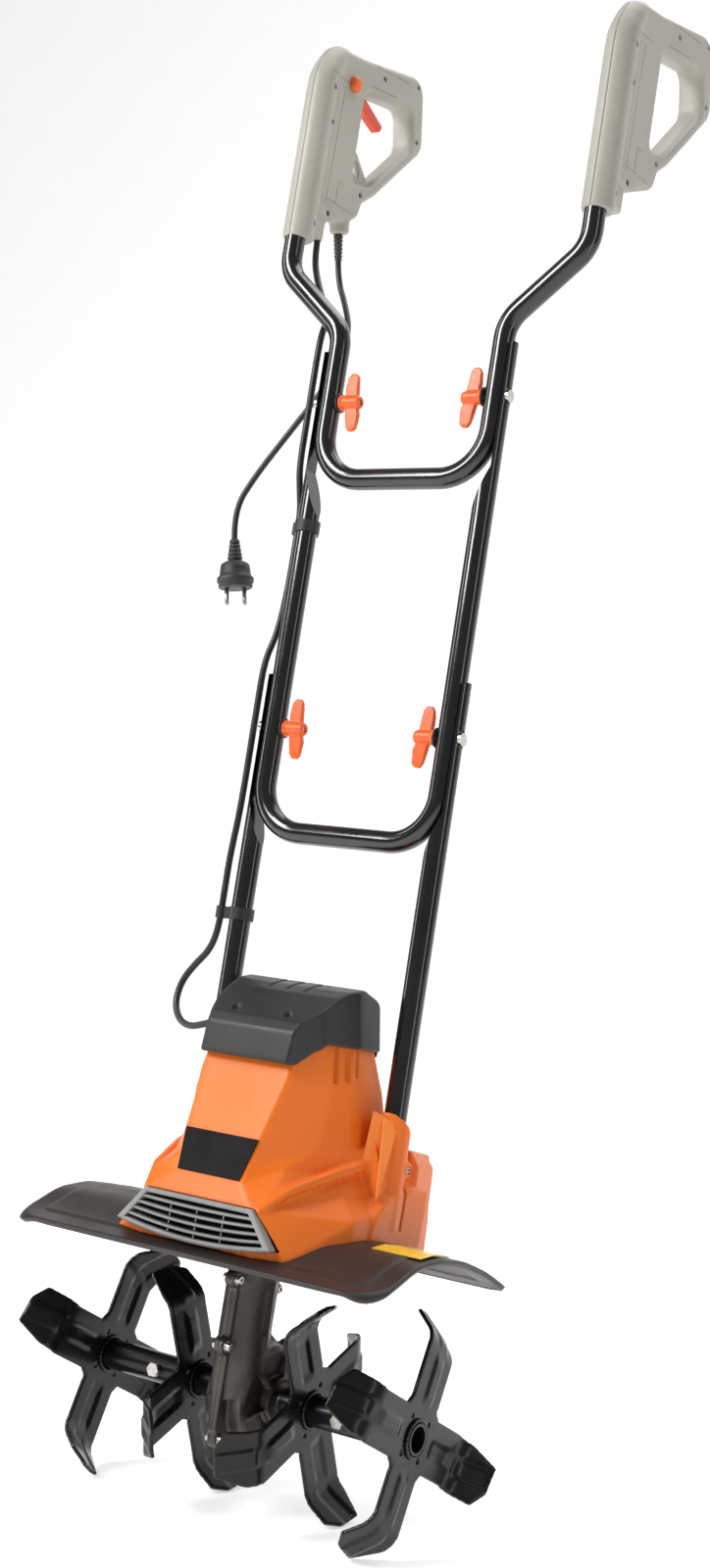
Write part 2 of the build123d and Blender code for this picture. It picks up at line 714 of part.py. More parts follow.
# (distance along the plug, radius) of its turned outline, from the cord to its face
plug_steps = [(0, 5.0), (24, 8.5), (26, 15.0), (40, 17.0), (42, 20.0), (47, 20.0), (47, 18.5), (53, 18.5)]
plug_pin_r = 2.4
plug_pin_length = 19.0
plug_pin_gap = 19.0
plug_at = Plane(mains_route[-1], x_dir=(0.8, 0.6, 0.1), z_dir=Vector(*mains_route[-1]) - Vector(*mains_route[-2]))
with BuildPart() as mains_plug:
    with BuildSketch(Plane(plug_at.origin, x_dir=plug_at.x_dir, z_dir=plug_at.y_dir)):
        with BuildLine():
            Polyline((0, 0), *[(r, -d) for d, r in plug_steps], (0, -plug_steps[-1][0]), close=True)
        make_face()
    revolve(axis=Axis(plug_at.origin, plug_at.z_dir))
    with BuildSketch(plug_at.offset(plug_steps[-1][0])):
        with GridLocations(plug_pin_gap, 1, 2, 1):
            Circle(plug_pin_r)
    extrude(amount=plug_pin_length)

# ---- Motor lead, clipped down the left side of the handle -----------------------------
# Its stretches between the folds, and the two straight ones that flex at a fold.
flex_half = 45.0
lead_lower_x, lead_upper_x = -129.0, -124.5


def beside(tube_x, reach, turn):
    """Where a clip holds the lead beside a left-hand tube, turn degrees back from -X."""
    return (tube_x - reach * cos(radians(turn)), handle_y + reach * sin(radians(turn)))


lower_clip_z, upper_clip_z = 451.0, 853.0
lower_held = beside(-lower_x, 26.5, 5)
upper_held = beside(-middle_x, 18.5, 24)
lead_routes = {
    "motor_lead_upper": [
        lead_top, (-176, 40, 1164), (-166, 37, 1138), (-150, 31, 1112), (-134, 24, 1084),
        (lead_upper_x, handle_y, 1058), (lead_upper_x, handle_y, upper_pivot_z + flex_half),
    ],
    "motor_lead_middle": [
        (lead_upper_x, handle_y, upper_pivot_z - flex_half), (lead_upper_x, handle_y, 918),
        (-122, 8, 893), (*upper_held, upper_clip_z + 19), (*upper_held, upper_clip_z - 19),
        (-120, 12, 790), (-122, 9, 742), (lead_lower_x, handle_y, 712),
        (lead_lower_x, handle_y, lower_pivot_z + flex_half),
    ],
    "motor_lead_lower": [
        (lead_lower_x, handle_y, lower_pivot_z - flex_half), (lead_lower_x, handle_y, 558), (-134.5, 6.5, 510),
        (*lower_held, lower_clip_z + 22), (*lower_held, lower_clip_z - 18),
        (-143, 9, 411), (-159, 10, 395), (-171, 8, 376), (-171, 3, 354), (-158, -4, 338),
        (-139, -10, 332), (-118, -13, 337), (-97, lead_port_y, lead_port_z),
        (lead_port_x - touch, lead_port_y, lead_port_z),
    ],
}
motor_leads = {}
for name, route in lead_routes.items():
    radii = arc_radii(route)
    print(name, [round(radius, 1) for radius in radii])
    with BuildPart() as lead:
        with BuildLine():
            FilletPolyline(*route, radius=radii)
        with BuildSketch(route_end(route)):
            Circle(lead_r)
        sweep()
    motor_leads[name] = lead
for name, x, pivot_z in (("lower", lead_lower_x, lower_pivot_z), ("upper", lead_upper_x, upper_pivot_z)):
    with BuildPart() as lead:
        with BuildSketch(Plane.XY.offset(pivot_z - flex_half)):
            with Locations((x, handle_y)):
                Circle(lead_r)
        extrude(amount=2 * flex_half)
    motor_leads[f"motor_lead_flex_{name}"] = lead

clip_t = 2.2
clip_height = 12.0
clip_web = 5.0                 # thickness of the web between a clip's two rings
clip_lug = 6.0                 # how far a clip's closing lug stands out behind the tube
lead_clips = {}
clips = [("lower", -lower_x, lower_held, lower_clip_z), ("middle", -middle_x, upper_held, upper_clip_z)]
for name, tube_x, held, clip_z in clips:
    with BuildPart() as clip:
        with BuildSketch(Plane.XY.offset(clip_z - clip_height / 2)):
            with Locations((tube_x, handle_y)):
                Circle(tube_r + clip_t)
            with Locations(held):
                Circle(lead_r + clip_t)
            with BuildLine():
                web = Line((tube_x, handle_y), held)
            with Locations(web @ 0.5):
                Rectangle(web.length, clip_web, rotation=web.tangent_angle_at(0))
            with Locations((tube_x, handle_y + tube_r + clip_lug / 2)):
                Rectangle(clip_web, clip_lug + clip_t)
            with Locations((tube_x, handle_y)):
                Circle(tube_r + fit, mode=Mode.SUBTRACT)
            with Locations(held):
                Circle(lead_r + touch, mode=Mode.SUBTRACT)
        extrude(amount=clip_height)
    lead_clips[f"lead_clip_{name}"] = clip

# ---- Rotor: a cross shaft, a tube on each side and four tined stars -------------------
with BuildPart() as rotor_shaft:
    with BuildSketch(Plane.YZ):
        Circle(axle_r)
    extrude(amount=axle_reach, both=True)
    with BuildSketch(Plane.XZ):
        for side in SIDES.values():
            with Locations((side * rotor_bolt_x, 0)):
                Circle(bolt_r + fit)
    extrude(amount=rotor_tube_r, both=True, mode=Mode.SUBTRACT)

rotor_tubes = {}
for name, side in SIDES.items():
    with BuildPart() as tube:
        with BuildSketch(Plane.YZ.offset(side * (boss_half + rotor_gap))):
            Circle(rotor_tube_r)
            Circle(axle_r + fit, mode=Mode.SUBTRACT)
        extrude(amount=side * (rotor_reach - boss_half - rotor_gap))
        with BuildSketch(Plane.XZ):
            with Locations((side * rotor_bolt_x, 0)):
                Circle(bolt_r + fit)
        extrude(amount=rotor_tube_r, both=True, mode=Mode.SUBTRACT)
    rotor_tubes[f"rotor_tube_{name}"] = tube

with BuildPart() as rotor_bolts:
    for side in SIDES.values():
        with BuildSketch(Plane.XZ.offset(-rotor_tube_r - touch)):
            with Locations((side * rotor_bolt_x, 0)):
                RegularPolygon(rotor_nut_r, 6)
        extrude(amount=-rotor_nut_t)
        with BuildSketch(Plane.XZ.offset(rotor_tube_r + touch)):
            with Locations((side * rotor_bolt_x, 0)):
                RegularPolygon(rotor_nut_r, 6)
        extrude(amount=rotor_nut_t)
        with BuildSketch(Plane.XZ):
            with Locations((side * rotor_bolt_x, 0)):
                Circle(bolt_r)
        extrude(amount=rotor_tube_r + 4, both=True)

# One star: (name, place along the shaft, lean of its first arm, which way each tip bends)
stars = [
    ("star_outer_left", -outer_star_x, star_phase, (1, 1, 1, -1)),
    ("star_inner_left", -inner_star_x, star_phase + star_offset, (-1, 1, 1, -1)),
    ("star_inner_right", inner_star_x, star_phase + star_offset, (-1, 1, -1, 1)),
    ("star_outer_right", outer_star_x, star_phase, (-1, 1, -1, -1)),
]
tines = {}
for name, star_x, lean, bends in stars:
    with BuildPart() as star:
        with BuildSketch(Plane.YZ.offset(star_x)):
            Circle(30)
        extrude(amount=star_t / 2, both=True)
        for arm, bend in enumerate(bends):
            turn = radians(lean + 90 * arm)
            along = Vector(0, sin(turn), cos(turn))
            across = Vector(0, cos(turn), -sin(turn))
            hub = Vector(star_x, 0, 0)
            lead_corner = hub + along * bend_lead - across * arm_lead
            trail_corner = hub + along * bend_trail + across * arm_trail
            fold = trail_corner - lead_corner
            outward = fold.cross(Vector(1, 0, 0)).normalized()
            if outward.dot(along) < 0:
                outward = outward * -1
            aside = Vector(bend, 0, 0)
            bend_turn = radians(bend_angle)
            tip_way = outward * cos(bend_turn) + aside * sin(bend_turn)
            tip_start = lead_corner + outward * bend_r * sin(bend_turn) + aside * bend_r * (1 - cos(bend_turn))
            with BuildSketch(Plane(hub, x_dir=along, z_dir=(1, 0, 0))) as arm_face:
                root = 8.0
                with BuildLine():
                    Polyline(
                        arm_face.workplanes[0].to_local_coords(hub + along * root - across * arm_lead),
                        arm_face.workplanes[0].to_local_coords(lead_corner),
                        arm_face.workplanes[0].to_local_coords(trail_corner),
                        arm_face.workplanes[0].to_local_coords(hub + along * root + across * arm_trail),
                        close=True,
                    )
                make_face()
            extrude(amount=star_t / 2, both=True)
            width = fold.length
            # the bend
            with BuildSketch(Plane(lead_corner, x_dir=outward, z_dir=outward.cross(aside))):
                with BuildLine():
                    inner_r, outer_r = bend_r - star_t / 2, bend_r + star_t / 2
                    CenterArc((0, bend_r), inner_r, -90, bend_angle)
                    CenterArc((0, bend_r), outer_r, -90, bend_angle)
                    Line((0, bend_r - inner_r), (0, bend_r - outer_r))
                    Line(
                        (inner_r * sin(bend_turn), bend_r - inner_r * cos(bend_turn)),
                        (outer_r * sin(bend_turn), bend_r - outer_r * cos(bend_turn)),
                    )
                make_face()
            extrude(amount=width if outward.cross(aside).dot(fold) > 0 else -width)
            # the tip
            with BuildSketch(Plane(tip_start, x_dir=fold, z_dir=fold.cross(tip_way))):
                with BuildLine():
                    Polyline(
                        (0, 0), (tip_lead, tip_length), (width - tip_trail, tip_length),
                        (width, tip_side), (width, 0), close=True,
                    )
                make_face()
            extrude(amount=star_t / 2, both=True)
        with BuildSketch(Plane.YZ.offset(star_x)):
            Circle(rotor_tube_r + fit)
        extrude(amount=star_t, both=True, mode=Mode.SUBTRACT)
    tines[name] = star

# ---- Yellow label on the guard's right-hand end ---------------------------------------
label_t = 0.8
label_inset = 36.0             # from the guard's end in to the label's middle
with BuildPart() as guard_label:
    with BuildSketch(Plane.XY.offset(120)):
        with Locations((guard_half - label_inset, -42)):
            Rectangle(52, 50)
    extrude(amount=80)
    with BuildSketch(Plane.YZ):
        with BuildLine():
            Polyline(
                *[(y, z + touch + label_t) for y, z in guard_profile],
                *[(y, z + touch) for y, z in reversed(guard_profile)],
                close=True,
            )
        make_face()
    extrude(amount=guard_half, both=True, mode=Mode.INTERSECT)

# ---- Lean the machine back onto its tines and write the pieces ------------------------
# The outer stars' lower arms and the inner stars' rear lower arms both touch the ground,
# so the machine leans back until their lowest corners are level.


def lowest(star, lean):
    """Height of a star's lowest corner over the rotor's axis, with the machine leaned back."""
    tilt = radians(lean)
    return min(corner.Z * cos(tilt) - corner.Y * sin(tilt) for corner in star.part.vertices())


least, most = 0.0, 22.5
for _ in range(30):
    lean_back = (least + most) / 2
    if lowest(tines["star_outer_left"], lean_back) < lowest(tines["star_inner_left"], lean_back):
        least = lean_back
    else:
        most = lean_back
pieces = {
    **gear_halves,
    "gear_case_screws": gear_case_screws,
    "motor": motor,
    "guard": guard,
    "guard_label": guard_label,
    "housing": housing,
    "grille": grille,
    "front_plate": front_plate,
    "cap": cap,
    **lower_tubes,
    "lower_pivot_bolts": pivot_bolts["lower"],
    "lower_wing_nuts": wing_nuts["lower"],
    "lead_clip_lower": lead_clips["lead_clip_lower"],
    "motor_lead_lower": motor_leads["motor_lead_lower"],
    "rotor_shaft": rotor_shaft,
    **rotor_tubes,
    "rotor_bolts": rotor_bolts,
    **tines,
    "middle_frame": middle_frame,
    "upper_pivot_bolts": pivot_bolts["upper"],
    "upper_wing_nuts": wing_nuts["upper"],
    "lead_clip_middle": lead_clips["lead_clip_middle"],
    "motor_lead_middle": motor_leads["motor_lead_middle"],
    "motor_lead_flex_lower": motor_leads["motor_lead_flex_lower"],
    "upper_frame": upper_frame,
    **grips,
    "switch_lever": switch_lever,
    "lock_button": lock_button,
    "motor_lead_upper": motor_leads["motor_lead_upper"],
    "motor_lead_flex_upper": motor_leads["motor_lead_flex_upper"],
    "mains_relief": mains_relief,
    "mains_cord": mains_cord,
    "mains_plug": mains_plug,
}
hanging = ("mains_relief", "mains_cord", "mains_plug")
leaned = {name: built.part.moved(Rotation(-lean_back, 0, 0)) for name, built in pieces.items()}
low, high = Vector(9e9, 9e9, 9e9), Vector(-9e9, -9e9, -9e9)
for name, piece in leaned.items():
    if name in hanging:
        continue
    extent = piece.bounding_box(optimal=True)
    low = Vector(*map(min, low, extent.min))
    high = Vector(*map(max, high, extent.max))
shift = Pos(-(low.X + high.X) / 2, -(low.Y + high.Y) / 2, -low.Z)
print("lean", lean_back, "shift", shift.position)
for name, piece in leaned.items():
    placed = piece.moved(shift)
    placed.label = name
    export_step(placed, f"parts/{name}.step")
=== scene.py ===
import json
import math

import bmesh
import bpy
from mathutils import Matrix, Vector


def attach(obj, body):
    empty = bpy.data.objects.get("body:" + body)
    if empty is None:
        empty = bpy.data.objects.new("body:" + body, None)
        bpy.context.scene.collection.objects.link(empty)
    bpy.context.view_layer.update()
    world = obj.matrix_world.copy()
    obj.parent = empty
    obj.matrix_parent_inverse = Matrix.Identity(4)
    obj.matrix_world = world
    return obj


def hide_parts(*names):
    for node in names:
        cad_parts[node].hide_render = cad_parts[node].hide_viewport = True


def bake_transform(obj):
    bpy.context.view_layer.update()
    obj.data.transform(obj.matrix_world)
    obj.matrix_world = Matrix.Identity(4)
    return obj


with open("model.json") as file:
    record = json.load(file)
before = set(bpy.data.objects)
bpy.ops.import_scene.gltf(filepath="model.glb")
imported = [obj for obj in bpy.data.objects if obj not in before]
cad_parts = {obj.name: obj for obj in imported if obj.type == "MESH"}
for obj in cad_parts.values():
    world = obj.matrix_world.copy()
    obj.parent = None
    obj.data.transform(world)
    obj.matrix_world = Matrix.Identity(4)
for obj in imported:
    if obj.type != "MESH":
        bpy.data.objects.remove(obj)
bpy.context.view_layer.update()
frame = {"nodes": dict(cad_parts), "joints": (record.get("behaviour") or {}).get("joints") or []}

# ---- The machine's own frame --------------------------------------------------------
# Every piece is laid out as it was drawn: millimetres from the middle of the rotor's
# axle, X across, Z up along the handle tubes.  The machine stands leaning back.
pivots = {joint["name"]: Vector(joint["pos_m"]) for joint in frame["joints"]}
axle = pivots["rotor_spin"]
handle_up = (pivots["upper_fold"] - pivots["lower_fold"]).normalized()
across = Vector((1, 0, 0))
rearward = handle_up.cross(across)
machine = Matrix((
    (across.x, rearward.x, handle_up.x, axle.x),
    (across.y, rearward.y, handle_up.y, axle.y),
    (across.z, rearward.z, handle_up.z, axle.z),
    (0, 0, 0, 1),
))

# ---- Studio -------------------------------------------------------------------------
# A level camera at hip height, in front and to the right; a white floor that curves up
# into a backdrop; tall soft boxes that draw the bright lines on the black tubes.
camera_data = bpy.data.cameras.new("studio_camera")
camera_data.sensor_width = 36.0
camera_data.lens = 47.79
camera_place = Vector((1131.3, -1691.7, 362.7))
camera = bpy.data.objects.new("studio_camera", camera_data)
bpy.context.scene.collection.objects.link(camera)
camera_yaw, camera_pitch, camera_roll = (math.radians(a) for a in (33.608, -6.428, -8.847))
look = Vector((
    -math.sin(camera_yaw) * math.cos(camera_pitch),
    math.cos(camera_yaw) * math.cos(camera_pitch),
    -math.sin(camera_pitch),
))
level_right = Vector((math.cos(camera_yaw), math.sin(camera_yaw), 0))
level_down = look.cross(level_right)
right = level_right * math.cos(camera_roll) + level_down * math.sin(camera_roll)
down = look.cross(right)
camera_turn = Matrix((right, -down, -look)).transposed().to_4x4()
camera.matrix_world = machine @ Matrix.Translation(camera_place / 1000) @ camera_turn
bpy.context.scene.camera = camera


def soft_box(name, place, target, width, height, power):
    """A studio soft box at place that faces target."""
    light = bpy.data.lights.new(name, "AREA")
    light.shape = "RECTANGLE"
    light.size, light.size_y = width, height
    light.energy = power
    lamp = bpy.data.objects.new(name, light)
    bpy.context.scene.collection.objects.link(lamp)
    lamp.location = place
    lamp.rotation_euler = (Vector(target) - Vector(place)).to_track_quat("-Z", "Y").to_euler()
    return lamp


soft_box("key_box", (-1.3, -2.4, 2.5), (0, 0, 0.5), 0.9, 1.6, 84)
soft_box("right_strip", (2.6, -0.6, 1.3), (0, 0, 0.8), 0.22, 2.6, 9)
soft_box("left_strip", (-2.4, -1.0, 1.3), (0, 0, 0.8), 0.3, 2.6, 18)
soft_box("top_box", (0.2, 0.6, 3.0), (0, 0, 0.5), 1.6, 1.6, 26)

studio = bpy.data.worlds.new("studio")
bpy.context.scene.world = studio
studio.use_nodes = True
sky = studio.node_tree.nodes["Background"]
sky.inputs["Color"].default_value = (1, 1, 1, 1)
sky.inputs["Strength"].default_value = 0.2

sweep = [(-6, 0), (3.0, 0), (3.5, 0.06), (3.9, 0.25), (4.15, 0.6), (4.25, 1.1), (4.25, 6)]
floor_mesh = bpy.data.meshes.new("floor")
floor_mesh.from_pydata(
    [(x, y, z) for y, z in sweep for x in (-8, 8)],
    [],
    [(2 * i, 2 * i + 1, 2 * i + 3, 2 * i + 2) for i in range(len(sweep) - 1)],
)
floor = bpy.data.objects.new("floor", floor_mesh)
bpy.context.scene.collection.objects.link(floor)
for polygon in floor_mesh.polygons:
    polygon.use_smooth = True
paper = bpy.data.materials.new("paper")
paper.use_nodes = True
for socket, value in (
    ("Base Color", (0.93, 0.93, 0.93, 1)), ("Roughness", 0.9),
    ("Emission Color", (1, 1, 1, 1)), ("Emission Strength", 0.5),
):
    paper.node_tree.nodes["Principled BSDF"].inputs[socket].default_value = value
floor_mesh.materials.append(paper)
bpy.context.scene.view_settings.view_transform = "Standard"

# ---- Gear case ----------------------------------------------------------------------
# Two die-cast aluminium halves, gunmetal painted: an oval worm column that opens into a
# round wheel case with two shaft bosses.  They meet on a rim that is screwed all round.


def finish(
    name, colour, second, mottle, roughness, spread, grain, depth, metal=0.0, coat=0.0, edge_highlight=None, shine=0.5,
):
    """A surface with two mottled tones, uneven gloss, a fine grain and, at sharp edges, a lighter painted
    highlight.

    mottle and grain are in spots to the metre, depth in metres.
    """
    material = bpy.data.materials.new(name)
    material.use_nodes = True
    nodes, links = material.node_tree.nodes, material.node_tree.links
    shader = nodes["Principled BSDF"]
    shader.inputs["Metallic"].default_value = metal
    shader.inputs["Specular IOR Level"].default_value = shine
    shader.inputs["Coat Weight"].default_value = coat
    shader.inputs["Coat Roughness"].default_value = 0.08
    place = nodes.new("ShaderNodeTexCoord")

    def noise(scale, detail):
        made = nodes.new("ShaderNodeTexNoise")
        made.inputs["Scale"].default_value = scale
        made.inputs["Detail"].default_value = detail
        links.new(place.outputs["Object"], made.inputs["Vector"])
        return made.outputs["Fac"]

    def ranged(source, low, high, to_low, to_high):
        made = nodes.new("ShaderNodeMapRange")
        links.new(source, made.inputs["Value"])
        settings = {"From Min": low, "From Max": high, "To Min": to_low, "To Max": to_high}
        for key, value in settings.items():
            made.inputs[key].default_value = value
        return made.outputs["Result"]

    def mixed(share, first, other):
        made = nodes.new("ShaderNodeMix")
        made.data_type = "RGBA"
        links.new(share, made.inputs["Factor"])
        if isinstance(first, tuple):
            made.inputs["A"].default_value = (*first, 1)
        else:
            links.new(first, made.inputs["A"])
        made.inputs["B"].default_value = (*other, 1)
        return made.outputs["Result"]

    paint = mixed(ranged(noise(mottle, 6), 0.35, 0.65, 0, 1), colour, second)
    # sharp convex edges are mixed towards a lighter colour: a painted edge highlight
    if edge_highlight:
        edge = nodes.new("ShaderNodeNewGeometry").outputs["Pointiness"]
        paint = mixed(ranged(edge, 0.53, 0.6, 0, 0.7), paint, edge_highlight)
    links.new(paint, shader.inputs["Base Color"])
    gloss = ranged(noise(mottle * 3, 4), 0.3, 0.7, roughness - spread, roughness + spread)
    links.new(gloss, shader.inputs["Roughness"])
    bump = nodes.new("ShaderNodeBump")
    bump.inputs["Distance"].default_value = depth
    links.new(noise(grain, 3), bump.inputs["Height"])
    links.new(bump.outputs["Normal"], shader.inputs["Normal"])
    return material


def lofted(bm, rings):
    """A closed solid through rings of equally many points."""
    loops = [[bm.verts.new(point) for point in ring] for ring in rings]
    for lower, upper in zip(loops, loops[1:]):
        for i in range(len(lower)):
            j = (i + 1) % len(lower)
            bm.faces.new((lower[i], lower[j], upper[j], upper[i]))
    bm.faces.new(list(reversed(loops[0])))
    bm.faces.new(loops[-1])
    bmesh.ops.recalc_face_normals(bm, faces=bm.faces)


def turned(bm, start, end, steps, around=32):
    """A lathe solid on the line from start to end, with (millimetres along, radius) steps."""
    start, end = Vector(start), Vector(end)
    way = (end - start).normalized()
    side = way.orthogonal().normalized()
    up = way.cross(side)
    rings = []
    for along, radius in steps:
        middle = start + way * along
        rings.append([
            middle + side * radius * math.cos(t) + up * radius * math.sin(t)
            for t in (2 * math.pi * i / around for i in range(around))
        ])
    lofted(bm, rings)


def hull(bm, points):
    """The tightest convex block round some points."""
    made = [bm.verts.new(point) for point in points]
    inner = bmesh.ops.convex_hull(bm, input=made)["geom_interior"]
    inner_points = [v for v in inner if isinstance(v, bmesh.types.BMVert)]
    bmesh.ops.delete(bm, geom=inner_points, context="VERTS")


def shaped(bm, *steps, smooth=True):
    """The mesh that bm becomes when modifiers (kind, settings) are applied in turn."""
    mesh = bpy.data.meshes.new("shape")
    bm.to_mesh(mesh)
    bm.free()
    tool = bpy.data.objects.new("shape", mesh)
    bpy.context.scene.collection.objects.link(tool)
    cutters = []
    for kind, settings in steps:
        modifier = tool.modifiers.new(kind, kind)
        for key, value in settings.items():
            if key == "cut":
                cutter_mesh = bpy.data.meshes.new("cutter")
                value.to_mesh(cutter_mesh)
                value.free()
                cutter = bpy.data.objects.new("cutter", cutter_mesh)
                bpy.context.scene.collection.objects.link(cutter)
                cutters.append(cutter)
                key, value = "object", cutter
            setattr(modifier, key, value)
    bpy.context.view_layer.update()
    made = bpy.data.meshes.new_from_object(tool.evaluated_get(bpy.context.evaluated_depsgraph_get()))
    for thing in (tool, *cutters):
        bpy.data.objects.remove(thing)
    for polygon in made.polygons:
        polygon.use_smooth = smooth
    return made


def fitted(name, mesh, body, material, *stands_for):
    """Stand a mesh drawn in the machine's frame in millimetres on its body."""
    mesh.transform(machine @ Matrix.Scale(0.001, 4))
    item = bpy.data.objects.new(name, mesh)
    bpy.context.scene.collection.objects.link(item)
    mesh.materials.clear()
    mesh.materials.append(material)
    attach(item, body)
    if stands_for:
        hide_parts(*stands_for)
    return item


def remesh(size):
    """Turn overlapping solids into one skin of squares of this size."""
    return "REMESH", {"mode": "VOXEL", "voxel_size": size, "use_smooth_shade": True}


def soften(times):
    """Round the edges of a skin a little, so many times."""
    return "SMOOTH", {"factor": 0.5, "iterations": times}


def cut(bm):
    """Take the solids of bm away."""
    return "BOOLEAN", {"operation": "DIFFERENCE", "solver": "MANIFOLD", "cut": bm}


# the lighter grey given for sharp edges is a painted edge highlight
cast_metal = finish("cast_metal", (0.075, 0.066, 0.058), (0.105, 0.095, 0.084), 22, 0.42, 0.1, 900, 0.00025,
                    metal=0.75, edge_highlight=(0.26, 0.25, 0.24))
column_y = -31.0
case_shape = bmesh.new()
oval = [
    (24.0 * math.cos(t), column_y + 26.5 * math.sin(t)) for t in (math.pi * i / 24 for i in range(48))
]
lofted(case_shape, [[(x, y, z) for x, y in oval] for z in (0, 134)])
lofted(case_shape, [
    [(x * s, column_y + (y - column_y) * s, z) for x, y in oval]
    for s, z in ((1, 120), (1.25, 134), (1.3, 140))
])
turned(case_shape, (-23.6, 0, 0), (23.6, 0, 0), [(0, 45), (4, 49.6), (43.2, 49.6), (47.2, 45)], 64)
turned(case_shape, (-32.6, 0, 0), (32.6, 0, 0), [(0, 20), (1.5, 21.6), (63.7, 21.6), (65.2, 20)], 40)
rim_screws = ((-64, 110), (-64, 48), (-52, -38), (44, -40), (42, 42), (3.5, 100))
rim = [(-62, 137), (-62, -30), (-38, -48), (0, -54), (38, -38), (54, 0), (38, 38), (0, 62), (0, 137)]
lofted(case_shape, [[(x, y, z) for y, z in rim] for x in (-4.8, 4.8)])
for y, z in rim_screws:
    turned(case_shape, (-4.8, y, z), (4.8, y, z), [(0, 8), (9.6, 8)], 24)
# stiffening ribs from the bosses out over the wheel case and up the column
for side in (-1, 1):
    for turn in (20, 80, 140, 200, 260, 320):
        out = Vector((0, math.cos(math.radians(turn)), math.sin(math.radians(turn))))
        along = Vector((0, -out.z, out.y)) * 1.7
        foot, end = out * 19, out * 42
        hull(case_shape, [
            Vector((side * x, 0, 0)) + p + s * along
            for p, x in ((foot, 10), (foot, 30), (end, 10), (end, 25.2)) for s in (-1, 1)
        ])
    hull(case_shape, [
        (side * x, column_y + y, z) for x in (18, 26.5) for y in (-1.8, 1.8) for z in (46, 132)
    ])
    for z in (62, 106):
        hull(case_shape, [
            (side * x, column_y + y, z + h) for x, y in ((23, -8), (23, 8), (27, 0)) for h in (-2, 2)
        ])
seam_cut = bmesh.new()
hull(seam_cut, [(x, y, z) for x in (-0.35, 0.35) for y in (-80, -61.2) for z in (-60, 150)])
hull(seam_cut, [(x, y, z) for x in (-0.35, 0.35) for y in (-80, 60) for z in (-60, -52.8)])
fitted("gear_case", shaped(case_shape, remesh(1.5), soften(4), cut(seam_cut)), "chassis", cast_metal,
       "gear_case_left", "gear_case_right")

# The rim's screws: bright zinc pan heads on the right, nuts on the left.
zinc = finish("zinc_plate", (0.62, 0.61, 0.58), (0.5, 0.48, 0.43), 150, 0.28, 0.08, 1500, 0.00005,
              metal=1.0)
screws = bmesh.new()
for y, z in rim_screws:
    for side in (-1, 1):
        turned(screws, (side * 5, y, z), (side * 12, y, z),
               [(0, 5.4), (1.2, 5.4), (1.4, 4.4), (4.4, 4.2), (5.0, 3.4)], 6 if side < 0 else 24)
socket = bmesh.new()
for y, z in rim_screws:
    turned(socket, (7.6, y, z), (12, y, z), [(0, 2.1), (4, 2.1)], 6)
fitted("gear_case_screw_heads", shaped(screws, cut(socket), smooth=False), "chassis", zinc,
       "gear_case_screws")

# ---- Rotor drive --------------------------------------------------------------------
# A turned steel cross shaft carries a black enamelled tube on each side, held by one
# through bolt.  The four stars are welded to the tubes, each with a bead on both faces.
turned_steel = finish("turned_steel", (0.45, 0.45, 0.44), (0.3, 0.29, 0.27), 40, 0.3, 0.1, 2500, 0.00004,
                      metal=1.0)
tine_enamel = finish("tine_enamel", (0.0045, 0.0045, 0.005), (0.006, 0.006, 0.0065), 35, 0.27, 0.03, 420,
                     0.00004, coat=0.1, shine=0.3)


def repaint(node, material):
    """Give a solid of the frame its real surface."""
    slots = frame["nodes"][node].data.materials
    slots.clear()
    slots.append(material)


repaint("rotor_shaft", turned_steel)
repaint("rotor_bolts", zinc)
repaint("rotor_tube_left", tine_enamel)
repaint("rotor_tube_right", tine_enamel)

# ---- Stars --------------------------------------------------------------------------
# Each star is one 4 mm steel plate: four arms at right angles, pressed with a raised rib
# from the hub outwards, then folded on a slant to one side or the other at the tips.
# It is welded to its tube with a bead on each face.
star_phase, star_offset = 19.0, 42.5
plate_half = 2
arm_lead, arm_trail = 25.0, 26.0
bend_lead, bend_trail, bend_r, bend_angle = 82.0, 70.0, 22.0, math.radians(53)
tip_length, tip_side, tip_lead, tip_trail = 28.0, 18.0, 10.0, 16.0
stars = [
    ("star_outer_left", -179.0, star_phase, (1, 1, 1, -1)),
    ("star_inner_left", -66.0, star_phase + star_offset, (-1, 1, 1, -1)),
    ("star_inner_right", 66.0, star_phase + star_offset, (-1, 1, -1, 1)),
    ("star_outer_right", 179.0, star_phase, (-1, 1, -1, -1)),
]
fold_start = Vector((-arm_lead, bend_lead))
fold_end = Vector((arm_trail, bend_trail))
fold_way = (fold_end - fold_start).normalized()
fold_out = Vector((-fold_way.y, fold_way.x))
if fold_out.y < 0:
    fold_out = -fold_out
fold_width = (fold_end - fold_start).length
bend_run = bend_r * bend_angle


def bump_round(distance, half, slope):
    """1 inside half, falling smoothly to 0 over slope."""
    share = min(1.0, max(0.0, (distance - half) / slope))
    return 1 - share * share * (3 - 2 * share)


